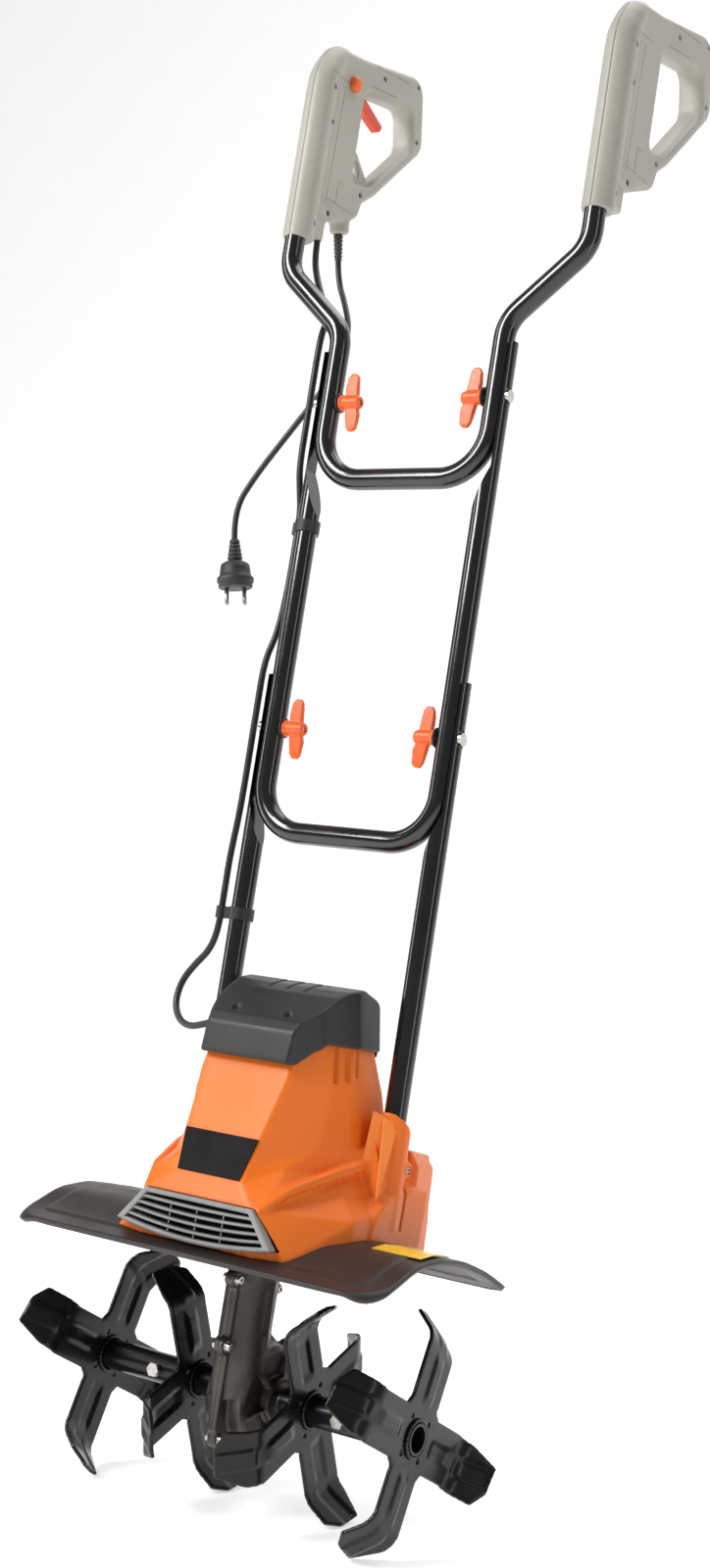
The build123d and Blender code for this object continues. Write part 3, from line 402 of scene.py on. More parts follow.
for name, star_x, lean, bends in stars:
    # the flat plate, arm by arm, with its tip unfolded
    flat = bmesh.new()
    turned(flat, (0, 0, -plate_half), (0, 0, plate_half), [(0, 36.5), (4, 36.5)], 64)
    for arm in range(4):
        turn = math.radians(-90 * arm)

        def on_arm(point):
            return Vector((
                point[0] * math.cos(turn) - point[1] * math.sin(turn),
                point[0] * math.sin(turn) + point[1] * math.cos(turn),
            ))

        tip = fold_start + fold_out * bend_run
        outline = [
            Vector((-arm_lead, 6)), fold_start, tip,
            tip + fold_way * tip_lead + fold_out * tip_length,
            tip + fold_way * (fold_width - tip_trail) + fold_out * tip_length,
            tip + fold_way * fold_width + fold_out * tip_side,
            tip + fold_way * fold_width, fold_end, Vector((arm_trail, 6)),
        ]
        web = [(-arm_lead - 6, 25), (-arm_lead, 34), (0, 34), (0, 20), (-arm_lead - 9.5, 20)]
        for form in (outline, web):
            lofted(flat, [[(*on_arm(p), z) for p in form] for z in (-plate_half, plate_half)])
    holes = bmesh.new()
    turned(holes, (0, 0, -9), (0, 0, 9), [(0, 14.6), (18, 14.6)], 48)
    for hole in range(4):
        turn = math.radians(45 + 90 * hole)
        centre = (24 * math.cos(turn), 24 * math.sin(turn))
        turned(holes, (*centre, -9), (*centre, 9), [(0, 2.6), (18, 2.6)], 20)
    plate = shaped(flat, remesh(1.6), soften(3), cut(holes))
    for vertex in plate.vertices:
        p = Vector(vertex.co[:2])
        arm = (4 - round(-math.degrees(math.atan2(p.x, p.y)) / 90) % 4) % 4
        c, s = math.cos(math.radians(90 * arm)), math.sin(math.radians(90 * arm))
        u = Vector((p.x * c - p.y * s, p.x * s + p.y * c))
        bend = bends[arm]
        beyond = (u - fold_start).dot(fold_out)
        beside = (u - fold_start).dot(fold_way)
        # pressed rib along the arm, and a lozenge on the tip
        rise = 2.2 * bump_round(abs(u.x - 1), 5, 5) * bump_round(-u.y, -40, 12) * bump_round(beyond, -10, 14)
        off_middle = abs(beside - fold_width / 2 + (beyond - bend_run) * 0.12)
        from_middle = abs(beyond - (bend_run + tip_length) / 2 - 4)
        rise += 1.8 * bump_round(off_middle, 6, 6) * bump_round(from_middle, 15, 9)
        lift = vertex.co.z - bend * rise
        place = u
        if beyond > 0:
            swing = min(beyond / bend_r, bend_angle)
            straight = max(0.0, beyond - bend_run)
            inner_r = bend_r - bend * lift
            along_out = inner_r * math.sin(swing) + straight * math.cos(swing)
            lift = bend * (bend_r - inner_r * math.cos(swing) + straight * math.sin(swing))
            place = fold_start + fold_way * beside + fold_out * along_out
        # arm axes in the machine's frame: its length leans back by the arm's turn
        arm_turn = math.radians(lean + 90 * arm)
        along = Vector((0, math.sin(arm_turn), math.cos(arm_turn)))
        sideways = Vector((0, math.cos(arm_turn), -math.sin(arm_turn)))
        vertex.co = Vector((star_x + lift, 0, 0)) + along * place.y + sideways * place.x
    plate.update()
    fitted(name + "_plate", plate, "rotor", tine_enamel, name)
    beads = bmesh.new()
    for side in (-1, 1):
        grid = []
        for t in (2 * math.pi * i / 120 for i in range(120)):
            loop = []
            for s in (2 * math.pi * j / 8 for j in range(8)):
                x = star_x + side * (1.6 + 1.6 * (1 + math.cos(s)))
                radius = 14.9 + 1.9 * (1 + math.sin(s)) + 0.35 * math.sin(t * 26)
                loop.append(beads.verts.new((x, radius * math.cos(t), radius * math.sin(t))))
            grid.append(loop)
        for i in range(120):
            for j in range(8):
                k, m = (i + 1) % 120, (j + 1) % 8
                beads.faces.new((grid[i][j], grid[k][j], grid[k][m], grid[i][m]))
    bmesh.ops.recalc_face_normals(beads, faces=beads.faces)
    fitted(name + "_weld", shaped(beads), "rotor", tine_enamel)

# ---- Guard --------------------------------------------------------------------------
# An arched apron moulded in brown-black plastic, 4.5 mm thick, with rounded corners, a
# turned-down rim and a raised field inside a step that follows its edge.
guard_half, guard_t = 208.0, 4.5
guard_profile = [(-155, 136), (-124, 144), (-86, 162), (-45, 168), (0, 165.5), (42, 156), (95, 138)]
# the lighter brown given for sharp edges is a painted edge highlight
guard_plastic = finish("guard_plastic", (0.02, 0.0165, 0.0155), (0.028, 0.024, 0.022), 9, 0.42, 0.07, 1400,
                       0.0001, edge_highlight=(0.07, 0.062, 0.058), shine=0.35)


def guard_z(y):
    """Height of the guard's upper side."""
    for (y0, z0), (y1, z1) in zip(guard_profile, guard_profile[1:]):
        if y <= y1:
            return z0 + (z1 - z0) * (y - y0) / (y1 - y0)
    return guard_profile[-1][1]


apron = bmesh.new()
rows, columns = 126, 170
y_front, y_rear = guard_profile[0][0] + 0.2, guard_profile[-1][0] - 0.2
grid = []
for i in range(rows + 1):
    y = y_front + (y_rear - y_front) * i / rows
    half = guard_half - 0.2
    for edge, r in ((y - y_front, 30.0), (y_rear - y, 20.0)):
        if edge < r:
            half = min(half, guard_half - 0.2 - r + math.sqrt(max(0.0, r * r - (r - edge) ** 2)))
    near = (-9, -6, -3, 0, 3, 6, 9)
    smooth_z = sum(guard_z(min(y_rear, max(y_front, y + d))) for d in near) / len(near)
    row = []
    for j in range(columns + 1):
        x = half * (2 * j / columns - 1)
        inside = min(half - abs(x), y - y_front, y_rear - y)
        corner = math.hypot(max(0, abs(x) - guard_half + 40), max(0, y_front + 40 - y))
        inside = min(inside, 40 - corner) if corner > 20 else inside
        lift = -1.6 * (1 - min(1, inside / 4)) ** 2 - 1.3 * bump_round(inside, 22, 4)
        row.append(apron.verts.new((x, y, smooth_z + lift)))
    grid.append(row)
for lower, upper in zip(grid, grid[1:]):
    for a, b, c, d in zip(lower, lower[1:], upper[1:], upper):
        apron.faces.new((a, b, c, d))
fitted("guard_apron", shaped(apron, ("SOLIDIFY", {"thickness": guard_t - 0.3, "offset": -1})), "chassis",
       guard_plastic, "guard")

# A blank yellow film label on the guard's right-hand end.
yellow_film = finish("yellow_film", (0.92, 0.62, 0.03), (0.85, 0.53, 0.02), 60, 0.3, 0.08, 2000, 0.00003,
                     coat=0.3)
repaint("guard_label", yellow_film)

# ---- Housing ------------------------------------------------------------------------
# An orange shell moulded in one piece: a faceted tower over the motor on a flared skirt,
# with a shoulder ridge, a collar round each lower tube and a rear box with its screws.
# the brighter orange given for sharp edges is a painted edge highlight
orange_shell = finish("orange_shell", (0.9, 0.185, 0.012), (0.86, 0.168, 0.01), 7, 0.38, 0.05, 1500, 0.00008,
                      edge_highlight=(0.97, 0.3, 0.06), shine=0.35)


def ring_at(z, half_points):
    """A whole outline at height z from its right half, front centre to rear centre."""
    left_half = [(-x, y, z) for x, y in reversed(half_points) if x > 0]
    return [(x, y, z) for x, y in half_points] + left_half


skirt = [
    (183, [(0, -136.5), (58, -136.5), (64, -135.5), (120, -60), (121, 34), (107, 95), (0, 103)]),
    (204, [(0, -129), (36, -129), (68, -117), (99, -54), (119, 36), (105, 94), (0, 102)]),
    (221, [(0, -123.7), (39, -123.7), (62, -101), (94, -36), (116, 38), (103, 93), (0, 101)]),
    (246, [(0, -116), (42, -116), (78, -62), (100, -16), (108, 40), (100, 91), (0, 98)]),
]
tower = [
    (200, [(0, -129.5), (38, -129.5), (68, -84), (84, -54), (90, 22), (80, 36), (0, 36)]),
    (246, [(0, -116), (42, -116), (76, -68), (88, -44), (94, 22), (84, 36), (0, 36)]),
    (300, [(0, -99), (49, -99), (75, -60), (82, -40), (84, 12), (72, 25), (0, 25)]),
    (347, [(0, -84.5), (47, -84.5), (59, -66), (69, -28), (69, 4), (59, 13), (0, 13)]),
]
shell_shape = bmesh.new()
tube_x, handle_y = 107.3, 4.0
collar_r, bore_r = 16.8, 11.35
boss = (15, 233)
circle = [(math.cos(t), math.sin(t)) for t in (2 * math.pi * i / 40 for i in range(40))]
foot = [(x, y, guard_z(y) - 1) for x, y, _ in ring_at(0, [
    (0, -132), (62, -134), (95, -127), (121.5, -64), (121.5, 34), (107.5, 95.5), (0, 102.5),
])]
lofted(shell_shape, [foot, *[ring_at(z, points) for z, points in skirt]])
lofted(shell_shape, [ring_at(z, points) for z, points in tower])
for side in (-1, 1):
    # the shoulder ridge from the grille's corner up to the collar
    crest = [
        (66, -136, 184, 5), (80, -108, 207, 6), (95, -60, 226, 6.5), (106, -10, 240, 6), (110, 14, 246, 5),
    ]
    for (x0, y0, z0, r0), (x1, y1, z1, r1) in zip(crest, crest[1:]):
        hull(shell_shape, [
            (side * (x + dx), y + dy, z + dz)
            for x, y, z, r in ((x0, y0, z0, r0), (x1, y1, z1, r1))
            for dx, dy, dz in ((0, 0, 0), (-r, 0, r * 0.25), (-r * 2, 0, -r), (0, 0, -r * 1.4))
        ])
    # the arched swelling low on the side
    hull(shell_shape, [
        (side * x, y, z) for x, y, z in (
            (123.5, -36, 166), (123.5, -30, 188), (123.5, -12, 206),
            (123, 30, 216), (122, 62, 212), (121, 62, 160),
            (100, -46, 166), (100, -40, 192), (100, -14, 214),
            (100, 30, 226), (100, 62, 220), (100, 62, 158),
        )
    ])
    # the collar, cut off on a slant, with its front web
    collar = [(side * (tube_x + collar_r * c), handle_y + collar_r * s) for c, s in circle]
    lofted(shell_shape, [
        [(x, y, 178) for x, y in collar],
        [(x, y, 274 - 11.5 * s) for (x, y), (_, s) in zip(collar, circle)],
    ])
    hull(shell_shape, [
        (side * x, y, z) for x, y, z in (
            (92, -24, 228), (96, -19, 278), (105, -17, 276), (114, -10, 272),
            (116, -22, 205), (117, -13, 182), (92, 4, 232), (98, -6, 276),
        )
    ])
    # the rear box and its screw boss
    hull(shell_shape, [
        (side * x, y, z) for x, y, z in (
            (112, 34, 160), (112, 34, 250), (119, 40, 236), (121, 40, 158),
            (108, 92, 150), (106, 92, 234), (96, 90, 246), (90, 36, 252),
        )
    ])
    turned(shell_shape, (side * 104, *boss), (side * 124.6, *boss), [(0, 7.2), (19.1, 7.2), (20.6, 5.8)], 28)

notches = bmesh.new()
for side in (-1, 1):
    # three finger vents below the cap, cut down into the side facet
    for y, low in ((-54, 296), (-40, 299), (-26, 304)):
        x_in = 70 if y < -50 else 74
        hull(notches, [
            (side * x, y + d + s * 3, z)
            for x, d, z in (
                (x_in + 30, -3, low), (x_in + 30, 4, 345), (x_in - 1, -3, low + 8), (x_in - 9, 4, 345),
            )
            for s in (-1, 1)
        ])
    # slits beside the collar and in the rear box
    hull(notches, [(side * x, y, z) for x in (99, 140) for y in (-19.5, -16.5) for z in (238, 271)])
    hull(notches, [(side * x, y, z) for x in (117.5, 140) for y in (14, 19.5) for z in (176, 223)])
    # the bore of the collar
    turned(notches, (side * tube_x, handle_y, 250), (side * tube_x, handle_y, 300),
           [(0, bore_r), (50, bore_r)], 40)
    turned(notches, (side * 121, *boss), (side * 130, *boss), [(0, 4.2), (9, 4.2)], 24)
# the window behind the grille
notch_window = bmesh.new()
window = [
    (-89.5, 151.0), (-61.5, 184.6), (61.5, 184.6), (89.5, 151.0), (45, 144.5), (0, 142.2), (-45, 144.5),
]
lofted(notch_window, [[(x, y, z) for x, z in window] for y in (-160, -118)])
# all that would show below the arched guard
under_guard = bmesh.new()
arch = [(-200, guard_z(-200)), *guard_profile, (140, guard_z(140))]
for (y0, z0), (y1, z1) in zip(arch, arch[1:]):
    hull(under_guard, [
        (x, y, z) for x in (-250, 250) for y, z in ((y0, z0 - 1.5), (y1, z1 - 1.5), (y1, 60), (y0, 60))
    ])
fitted("housing_shell", shaped(
    shell_shape, remesh(1.9), soften(5), cut(notches), cut(notch_window), cut(under_guard),
), "chassis", orange_shell, "housing")

# The crisp front web of each collar: it ends in a sharp tip and its top slants to the rear.
web_shape = bmesh.new()
web_blades = (
    ((97, -25, 232), (99, -21, 283), (107.5, -13, 279)),
    ((117, -24, 205), (107.5, -15.5, 279), (117.5, -6, 274)),
)
for side in (-1, 1):
    for low, tip, rear in web_blades:
        hull(web_shape, [
            (side * (x + dx), y + dy, z) for x, y, z in (low, tip, rear, (104, -8, 232), (112, -10, 205))
            for dx, dy in ((-0.8, -0.8), (0.8, -0.8), (0, 0.8))
        ])
web_bore = bmesh.new()
for side in (-1, 1):
    turned(web_bore, (side * tube_x, handle_y, 150), (side * tube_x, handle_y, 300),
           [(0, bore_r), (150, bore_r)], 40)
fitted("housing_webs", shaped(web_shape, cut(web_bore), smooth=False), "chassis", orange_shell)

# Bright cross-head screws in the rear bosses.
screw_shape = bmesh.new()
for side in (-1, 1):
    turned(screw_shape, (side * 121, *boss), (side * 124, *boss), [(0, 3.9), (1.2, 3.9), (2.2, 2.6)], 24)
recess = bmesh.new()
for side in (-1, 1):
    for turn in (0.4, 0.4 + math.pi / 2):
        c, s = math.cos(turn), math.sin(turn)
        hull(recess, [
            (side * x, boss[0] + a * c - b * s, boss[1] + a * s + b * c)
            for x in (122.3, 127) for a in (-2.1, 2.1) for b in (-0.45, 0.45)
        ])
fitted("housing_screws", shaped(screw_shape, cut(recess), smooth=False), "chassis", zinc)

# ---- Grille -------------------------------------------------------------------------
# A satin grey moulding clipped into the window: a frame with four curved bars that bow
# down towards the middle, tied by three short uprights, over a near-black sheet of painted shade.
# the lighter grey given for sharp edges is a painted edge highlight
grille_grey = finish("grille_grey", (0.27, 0.27, 0.262), (0.23, 0.23, 0.222), 30, 0.3, 0.06, 1200, 0.00006,
                     edge_highlight=(0.4, 0.4, 0.39))
grille_shape = bmesh.new()
across_steps = [i / 16 - 1 for i in range(33)]


def grille_half(z):
    """Half width of the grille on its slanted sides."""
    return 61.0 + (184.0 - z) / 32.0 * 27.0


def bar(bm, z, half, height, y_front, y_back, sag):
    """A bar bowed down by sag in the middle, with a rounded front."""
    section = [
        (y_back, -height / 2), (y_front + 1.2, -height / 2), (y_front, -height / 6),
        (y_front, height / 6), (y_front + 1.2, height / 2), (y_back, height / 2),
    ]
    lofted(bm, [[(t * half, y, z + h - sag * (1 - t * t)) for y, h in section] for t in across_steps])


top_bar, bar_pitch, bar_back, deepest_sag = 181.6, 5.75, -131.2, 8.0
for level in range(6):
    z = top_bar - level * bar_pitch
    height, y_front = (4.6, -140.7) if level in (0, 5) else (2.9, -140.2)
    bar(grille_shape, z, grille_half(z) - 1.5, height, y_front, bar_back, deepest_sag * level / 5)
for side in (-1, 1):
    hull(grille_shape, [
        (side * x, y, z) for y in (-140.8, bar_back)
        for x, z in ((60.6, 183.8), (55.0, 183.8), (87.4, 151.6), (80.4, 151.8))
    ])
    for x in (-30, 0, 30):
        for level in (1, 2, 3, 4):
            z = top_bar - level * bar_pitch - deepest_sag * level / 5 * (1 - (x / 75) ** 2)
            hull(grille_shape, [
                (x + a, y, z + b) for a in (-0.9, 0.9) for y in (-137.5, -133) for b in (-5.2, 1)
            ])
broken_edges = ("BEVEL", {"width": 0.5, "segments": 2, "limit_method": "ANGLE"})
fitted("grille_bars", shaped(grille_shape, broken_edges), "chassis", grille_grey, "grille")
# a near-black sheet across the window behind the bars: painted shade for the shadowed inside of the housing
shade_sheet_paint = finish("grille_shade_sheet", (0.008, 0.008, 0.008), (0.015, 0.015, 0.015), 300, 0.8, 0.1, 1600,
                     0.0004)
shade_sheet_shape = bmesh.new()
lofted(shade_sheet_shape, [[(x, y, z) for x, z in window] for y in (-124, -120)])
fitted("grille_shade_sheet", shaped(shade_sheet_shape, smooth=False), "chassis", shade_sheet_paint)

# The blank black plate stuck to the sloping front.
plate_film = finish("plate_film", (0.008, 0.0065, 0.0065), (0.01, 0.009, 0.009), 20, 0.62, 0.04, 900,
                    0.00003, shine=0.12)
repaint("front_plate", plate_film)

# ---- Cap ----------------------------------------------------------------------------
# A charcoal hood moulded separately and screwed down over the tower's top: flat top with
# three grooves, a slope with two deep screw holes, and a rounded blunt front.
# the lighter grey given for sharp edges is a painted edge highlight
charcoal = finish("charcoal_hood", (0.021, 0.0195, 0.019), (0.027, 0.0255, 0.025), 9, 0.4, 0.05, 1500,
                  0.00008, edge_highlight=(0.08, 0.078, 0.076), shine=0.45)
cap_low = [(0, -105), (50.5, -105), (71.5, -74.5), (83.5, -28), (83.5, 8.5), (71.5, 20.5), (0, 20.5)]
cap_high = [(0, -105), (43, -105), (57, -74.5), (67, -28), (67, 7.5), (57, 19), (0, 19)]


def cap_ring(z):
    """The hood's outline at height z; it draws in by a fifth over 100 mm."""
    share = (z - 300) / 100
    return [(x + (X - x) * share, y + (Y - y) * share) for (x, y), (X, Y) in zip(cap_low, cap_high)]


cap_shape = bmesh.new()
lofted(cap_shape, [ring_at(z, cap_ring(z)) for z in (305, 345, 395)])
above, below = bmesh.new(), bmesh.new()
roof_line = [
    (-130, 314), (-105, 316), (-101, 344), (-94, 354), (-55, 381),
    (-40, 388), (-19, 393), (4, 385), (22, 370), (60, 345),
]
foot_line = [(-130, 314), (-96, 314), (-82, 327), (-66, 337), (14, 337), (18, 331), (60, 331)]
for waste, line, far in ((above, roof_line, 460), (below, foot_line, 250)):
    for (y0, z0), (y1, z1) in zip(line, line[1:]):
        hull(waste, [(x, y, z) for x in (-120, 120) for y, z in ((y0, z0), (y1, z1), (y1, far), (y0, far))])
grooves = bmesh.new()
for x in (-21, 0, 21):
    hull(grooves, [(x + s * w, y, z) for s in (-1, 1) for w, y, z in (
        (1.6, -50, 380), (1.6, 2, 382), (2.6, -54, 384), (2.6, 6, 386), (2.6, -54, 405), (2.6, 8, 405),
    )])
wells, well_screws = bmesh.new(), bmesh.new()
slope, well_depth, well_r = Vector((0, -0.57, 0.82)), 11, 5.6
for x in (-30, 30):
    mouth = Vector((x, -86, 359.6))
    floor_of_well = mouth - slope * well_depth
    turned(wells, floor_of_well, mouth + slope * 6, [(0, well_r), (17, well_r)], 32)
    turned(well_screws, floor_of_well, floor_of_well + slope * 3, [(0, 3.6), (1.5, 3.6), (2.4, 2.2)], 24)
port = bmesh.new()
turned(port, (-66, -15, 345), (-90, -15, 345), [(0, 4.3), (24, 4.3)], 28)
fitted("cap_hood", shaped(
    cap_shape, cut(above), cut(below), remesh(1.5), soften(7), cut(grooves), cut(wells), cut(port),
), "chassis", charcoal, "cap")
fitted("cap_screws", shaped(well_screws), "chassis", zinc)

# ---- Handle tubes -------------------------------------------------------------------
# 22 mm steel tube, bent cold and coated in glossy black powder paint with a faint orange
# peel: two lower tubes, a middle U and an upper U whose legs spread to the grips.
tube_paint = finish("tube_paint", (0.006, 0.006, 0.007), (0.009, 0.009, 0.01), 12, 0.17, 0.05, 260,
                    0.00006, coat=0.5)
for node in ("lower_tube_left", "lower_tube_right", "middle_frame", "upper_frame"):
    repaint(node, tube_paint)

# ---- Pivot bolts and wing nuts ------------------------------------------------------
# Zinc-plated dome-head bolts sit in dimples pressed into the outer tubes.  Inside the
# frame each takes a black washer and an orange nylon wing nut with two offset paddles.
repaint("lower_pivot_bolts", zinc)
repaint("upper_pivot_bolts", zinc)
# the brighter orange given for sharp edges is a painted edge highlight
orange_nylon = finish("orange_nylon", (0.82, 0.125, 0.012), (0.74, 0.105, 0.01), 60, 0.36, 0.07, 1600,
                      0.00007, edge_highlight=(0.95, 0.25, 0.06))
black_nylon = finish("black_nylon", (0.012, 0.012, 0.013), (0.02, 0.02, 0.021), 60, 0.45, 0.08, 1600,
                     0.00008)
# a paddle's two edges at three heights: distance in from the seat, half thickness, height
paddle = [
    (10, 3.1, 14), (24, 3.1, 13), (11, 2.6, 26), (23, 2.6, 27), (14, 2.2, 30.6), (20, 2.2, 30.6),
]
for name, body, pivot_z, seat_x in (
    ("lower", "chassis", 643.0, 91.2), ("upper", "middle_handle", 985.0, 86.4),
):
    nuts, washers, bores = bmesh.new(), bmesh.new(), bmesh.new()
    for side in (-1, 1):
        for item, near, far, steps, around in (
            (washers, 0, 2, [(0, 10.2), (1.2, 10.2), (1.8, 9.4)], 36),
            (nuts, 1.8, 26, [(0, 8.4), (2.5, 8.4), (4, 7.2), (21, 6.9), (23.4, 6.2), (24, 5.2)], 36),
            (bores, 17, 30, [(0, 3.6), (13, 3.6)], 6),
        ):
            ends = [(side * (seat_x - inward), handle_y, pivot_z) for inward in (near, far)]
            turned(item, *ends, steps, around)
        for way, lean_out in ((1, 3.5), (-1, -1.5)):
            edges = [(8, 3.4, 2), (22, 3.4, 2), *((x - lean_out, half, z) for x, half, z in paddle)]
            hull(nuts, [
                (side * (seat_x - x), handle_y + s * half, pivot_z + way * z)
                for x, half, z in edges for s in (-1, 1)
            ])
    fitted(f"{name}_wing_knobs", shaped(nuts, remesh(0.75), soften(5), cut(bores)), body, orange_nylon,
           f"{name}_wing_nuts")
    fitted(f"{name}_nut_washers", shaped(washers), body, black_nylon)

# ---- Hand grips ---------------------------------------------------------------------
# Each grip is two warm grey half shells screwed together round the tube: a front stem
# with a domed head, a D loop behind it, and a chin below where the leads come out.
# the lighter grey given for sharp edges is a painted edge highlight
grip_grey = finish("grip_grey", (0.4, 0.386, 0.336), (0.365, 0.352, 0.304), 10, 0.42, 0.05, 1500, 0.00008,
                   edge_highlight=(0.5, 0.485, 0.43), shine=0.4)
grip_x = 178.0
loop_outline = [
    (14, 1222, 8), (14, 1391, 20), (62, 1400, 8), (178, 1432, 22), (196, 1352, 22), (118, 1265, 16),
    (97, 1247, 8), (92, 1228, 10), (52, 1210, 8),
]
loop_hole = [(72, 1365, 8), (160, 1386, 12), (171, 1346, 20), (104, 1271, 14), (72, 1262, 6)]


def rounded(corners, grow=0.0):
    """Points of a closed outline of (y, z, radius) corners, grown all round."""
    points = []
    for i, (y, z, radius) in enumerate(corners):
        here = Vector((y, z))
        before = (Vector(corners[i - 1][:2]) - here).normalized()
        after = (Vector(corners[(i + 1) % len(corners)][:2]) - here).normalized()
        half = before.angle(after) / 2
        middle = here + (before + after).normalized() * radius / math.sin(half)
        start, end = here + before * radius / math.tan(half), here + after * radius / math.tan(half)
        for step in range(7):
            arm = (start - middle).lerp(end - middle, step / 6).normalized() * radius
            points.append(middle + arm)
    grown = []
    for i, point in enumerate(points):
        way = (points[(i + 1) % len(points)] - points[i - 1]).normalized()
        grown.append(point + Vector((way.y, -way.x)) * grow)
    return grown


def turns_left(corners):
    """True where an outline runs anticlockwise."""
    return sum(a[0] * b[1] - b[0] * a[1] for a, b in zip(corners, corners[1:] + corners[:1])) > 0


grip_screws = [
    (10, 1343), (17, 1307), (13, 1190), (37, 1212), (100, 1395), (88, 1254), (167, 1417), (180, 1357),
]
sign = 1 if turns_left(loop_outline) else -1
hole_sign = 1 if turns_left(loop_hole) else -1
well_face = 15.4
for name, side in (("left", -1), ("right", 1)):
    middle_x = side * grip_x
    grip = bmesh.new()
    lofted(grip, [
        [(middle_x + x, *p) for p in rounded(loop_outline, -sign * inset)]
        for x, inset in ((-14.2, 5.5), (-12.6, 2.2), (-9.5, 0.3), (9.5, 0.3), (12.6, 2.2), (14.2, 5.5))
    ])
    opening = bmesh.new()
    lofted(opening, [
        [(middle_x + x, *p) for p in rounded(loop_hole, hole_sign * wider)]
        for x, wider in (
            (-16, 7), (-14, 4.5), (-11, 1.5), (-5.5, 0.2), (5.5, 0.2), (11, 1.5), (14, 4.5), (16, 7),
        )
    ])
    stem = bmesh.new()
    lofted(stem, [
        [(middle_x + r * c, y + ry * s, z) for c, s in circle]
        for z, y, r, ry in (
            (1170.4, 8, 15.6, 15.6), (1172, 8, 16.4, 16.4), (1338, 8, 16.4, 16.4), (1354, 9, 16.4, 16.2),
            (1366, 14, 16.0, 17.0), (1379, 21, 15.2, 17.5), (1389, 27, 13.4, 16.5), (1395, 31, 9.5, 12.0),
            (1397.5, 33, 4.5, 6.0),
        )
    ])
    # the rib behind the stem down to its foot, and the chin
    rib = ((-10.5, 10), (-8.5, 40), (-4, 45.5), (4, 45.5), (8.5, 40), (10.5, 10))
    lofted(stem, [[(middle_x + x, y, z) for x, y in rib] for z in (1182.5, 1350)])
    hull(stem, [
        (middle_x + s * x, y, z) for x, y, z in (
            (13, 20, 1208), (13, 20, 1256), (12, 46, 1206), (12, 84, 1224), (13, 92, 1244), (13, 60, 1262),
        ) for s in (-1, 1)
    ])
    if name == "left":
        # the web with the cable hook's eye, across the loop's lower front corner
        web_corners = ((70, 1300), (78, 1306), (86, 1302), (112, 1280), (104, 1262), (70, 1262))
        hull(stem, [(middle_x + x, y, z) for x in (-3.4, 3.4) for y, z in web_corners])
        # the chin's socket round the mains lead's relief
        turned(stem, (middle_x + 1.2, 78.5, 1206), (middle_x + 1.6, 72, 1230),
               [(0, 9.2), (2, 10.5), (22, 11.5)], 28)
    for item in (grip, stem):
        item.normal_update()
    whole = bmesh.new()
    whole.from_mesh(shaped(grip, cut(opening)))
    stem_mesh = bpy.data.meshes.new("stem")
    stem.to_mesh(stem_mesh)
    stem.free()
    whole.from_mesh(stem_mesh)
    details = bmesh.new()
    for y, z in grip_screws:
        turned(details, (middle_x + well_face - 5, y, z), (middle_x + 24, y, z),
               [(0, 3.3), (30 - well_face, 3.3)], 24)
    # the seam between the half shells, in front and round behind
    for seam in (
        ((-12, 1170), (-7.2, 1170), (-12, 1356), (-6.6, 1356)),
        ((-12, 1352), (-6.4, 1352), (14, 1412), (17.6, 1404)),
        ((70, 1412), (70, 1404.4), (172, 1440), (172, 1429.2)),
    ):
        hull(details, [(middle_x + x, y, z) for x in (-0.45, 0.45) for y, z in seam])
    # the step round the head, and hairlines on the upper bar and the stem's side
    for start, end, wide in (
        ((-10, 1356), (44, 1361), 0.55), ((66, 1398), (148, 1412), 0.45), ((80, 1376), (128, 1386), 0.45),
        ((26, 1200), (30, 1352), 0.45), ((28, 1225), (90, 1228), 0.55),
        ((44, 1226), (44, 1252), 0.4), ((44, 1252), (54, 1252), 0.4),
    ):
        start, end = Vector((0, *start)), Vector((0, *end))
        half_line = (end - start).normalized().cross(Vector((1, 0, 0))) * wide
        for face in (-1, 1):
            hull(details, [
                Vector((middle_x + face * x, 0, 0)) + p + s * half_line
                for x in (13.3, 22) for p in (start, end) for s in (-1, 1)
            ])
    steps = [remesh(1.45), soften(6), cut(details)]
    if name == "left":
        eye = bmesh.new()
        eye_ring = [
            (87 + 6.5 * math.cos(t) - 3 * math.sin(t), 1284 + 9 * math.sin(t))
            for t in (2 * math.pi * i / 28 for i in range(28))
        ]
        lofted(eye, [[(middle_x + x, y, z) for y, z in eye_ring] for x in (-8, 8)])
        steps.append(cut(eye))
    fitted(f"grip_{name}_shells", shaped(whole, *steps), "upper_handle", grip_grey, f"grip_{name}")
    heads, crosses = bmesh.new(), bmesh.new()
    for y, z in grip_screws:
        turned(heads, (middle_x + well_face - 5, y, z), (middle_x + well_face - 3, y, z),
               [(0, 3.1), (1.2, 3.0), (2, 1.9)], 20)
        for a, b in ((1.7, 0.4), (0.4, 1.7)):
            hull(crosses, [
                (middle_x + well_face - x, y + s * a, z + t * b)
                for x in (3.9, 1) for s in (-1, 1) for t in (-1, 1)
            ])
    fitted(f"grip_{name}_screws", shaped(heads, cut(crosses), smooth=False), "upper_handle", black_nylon)

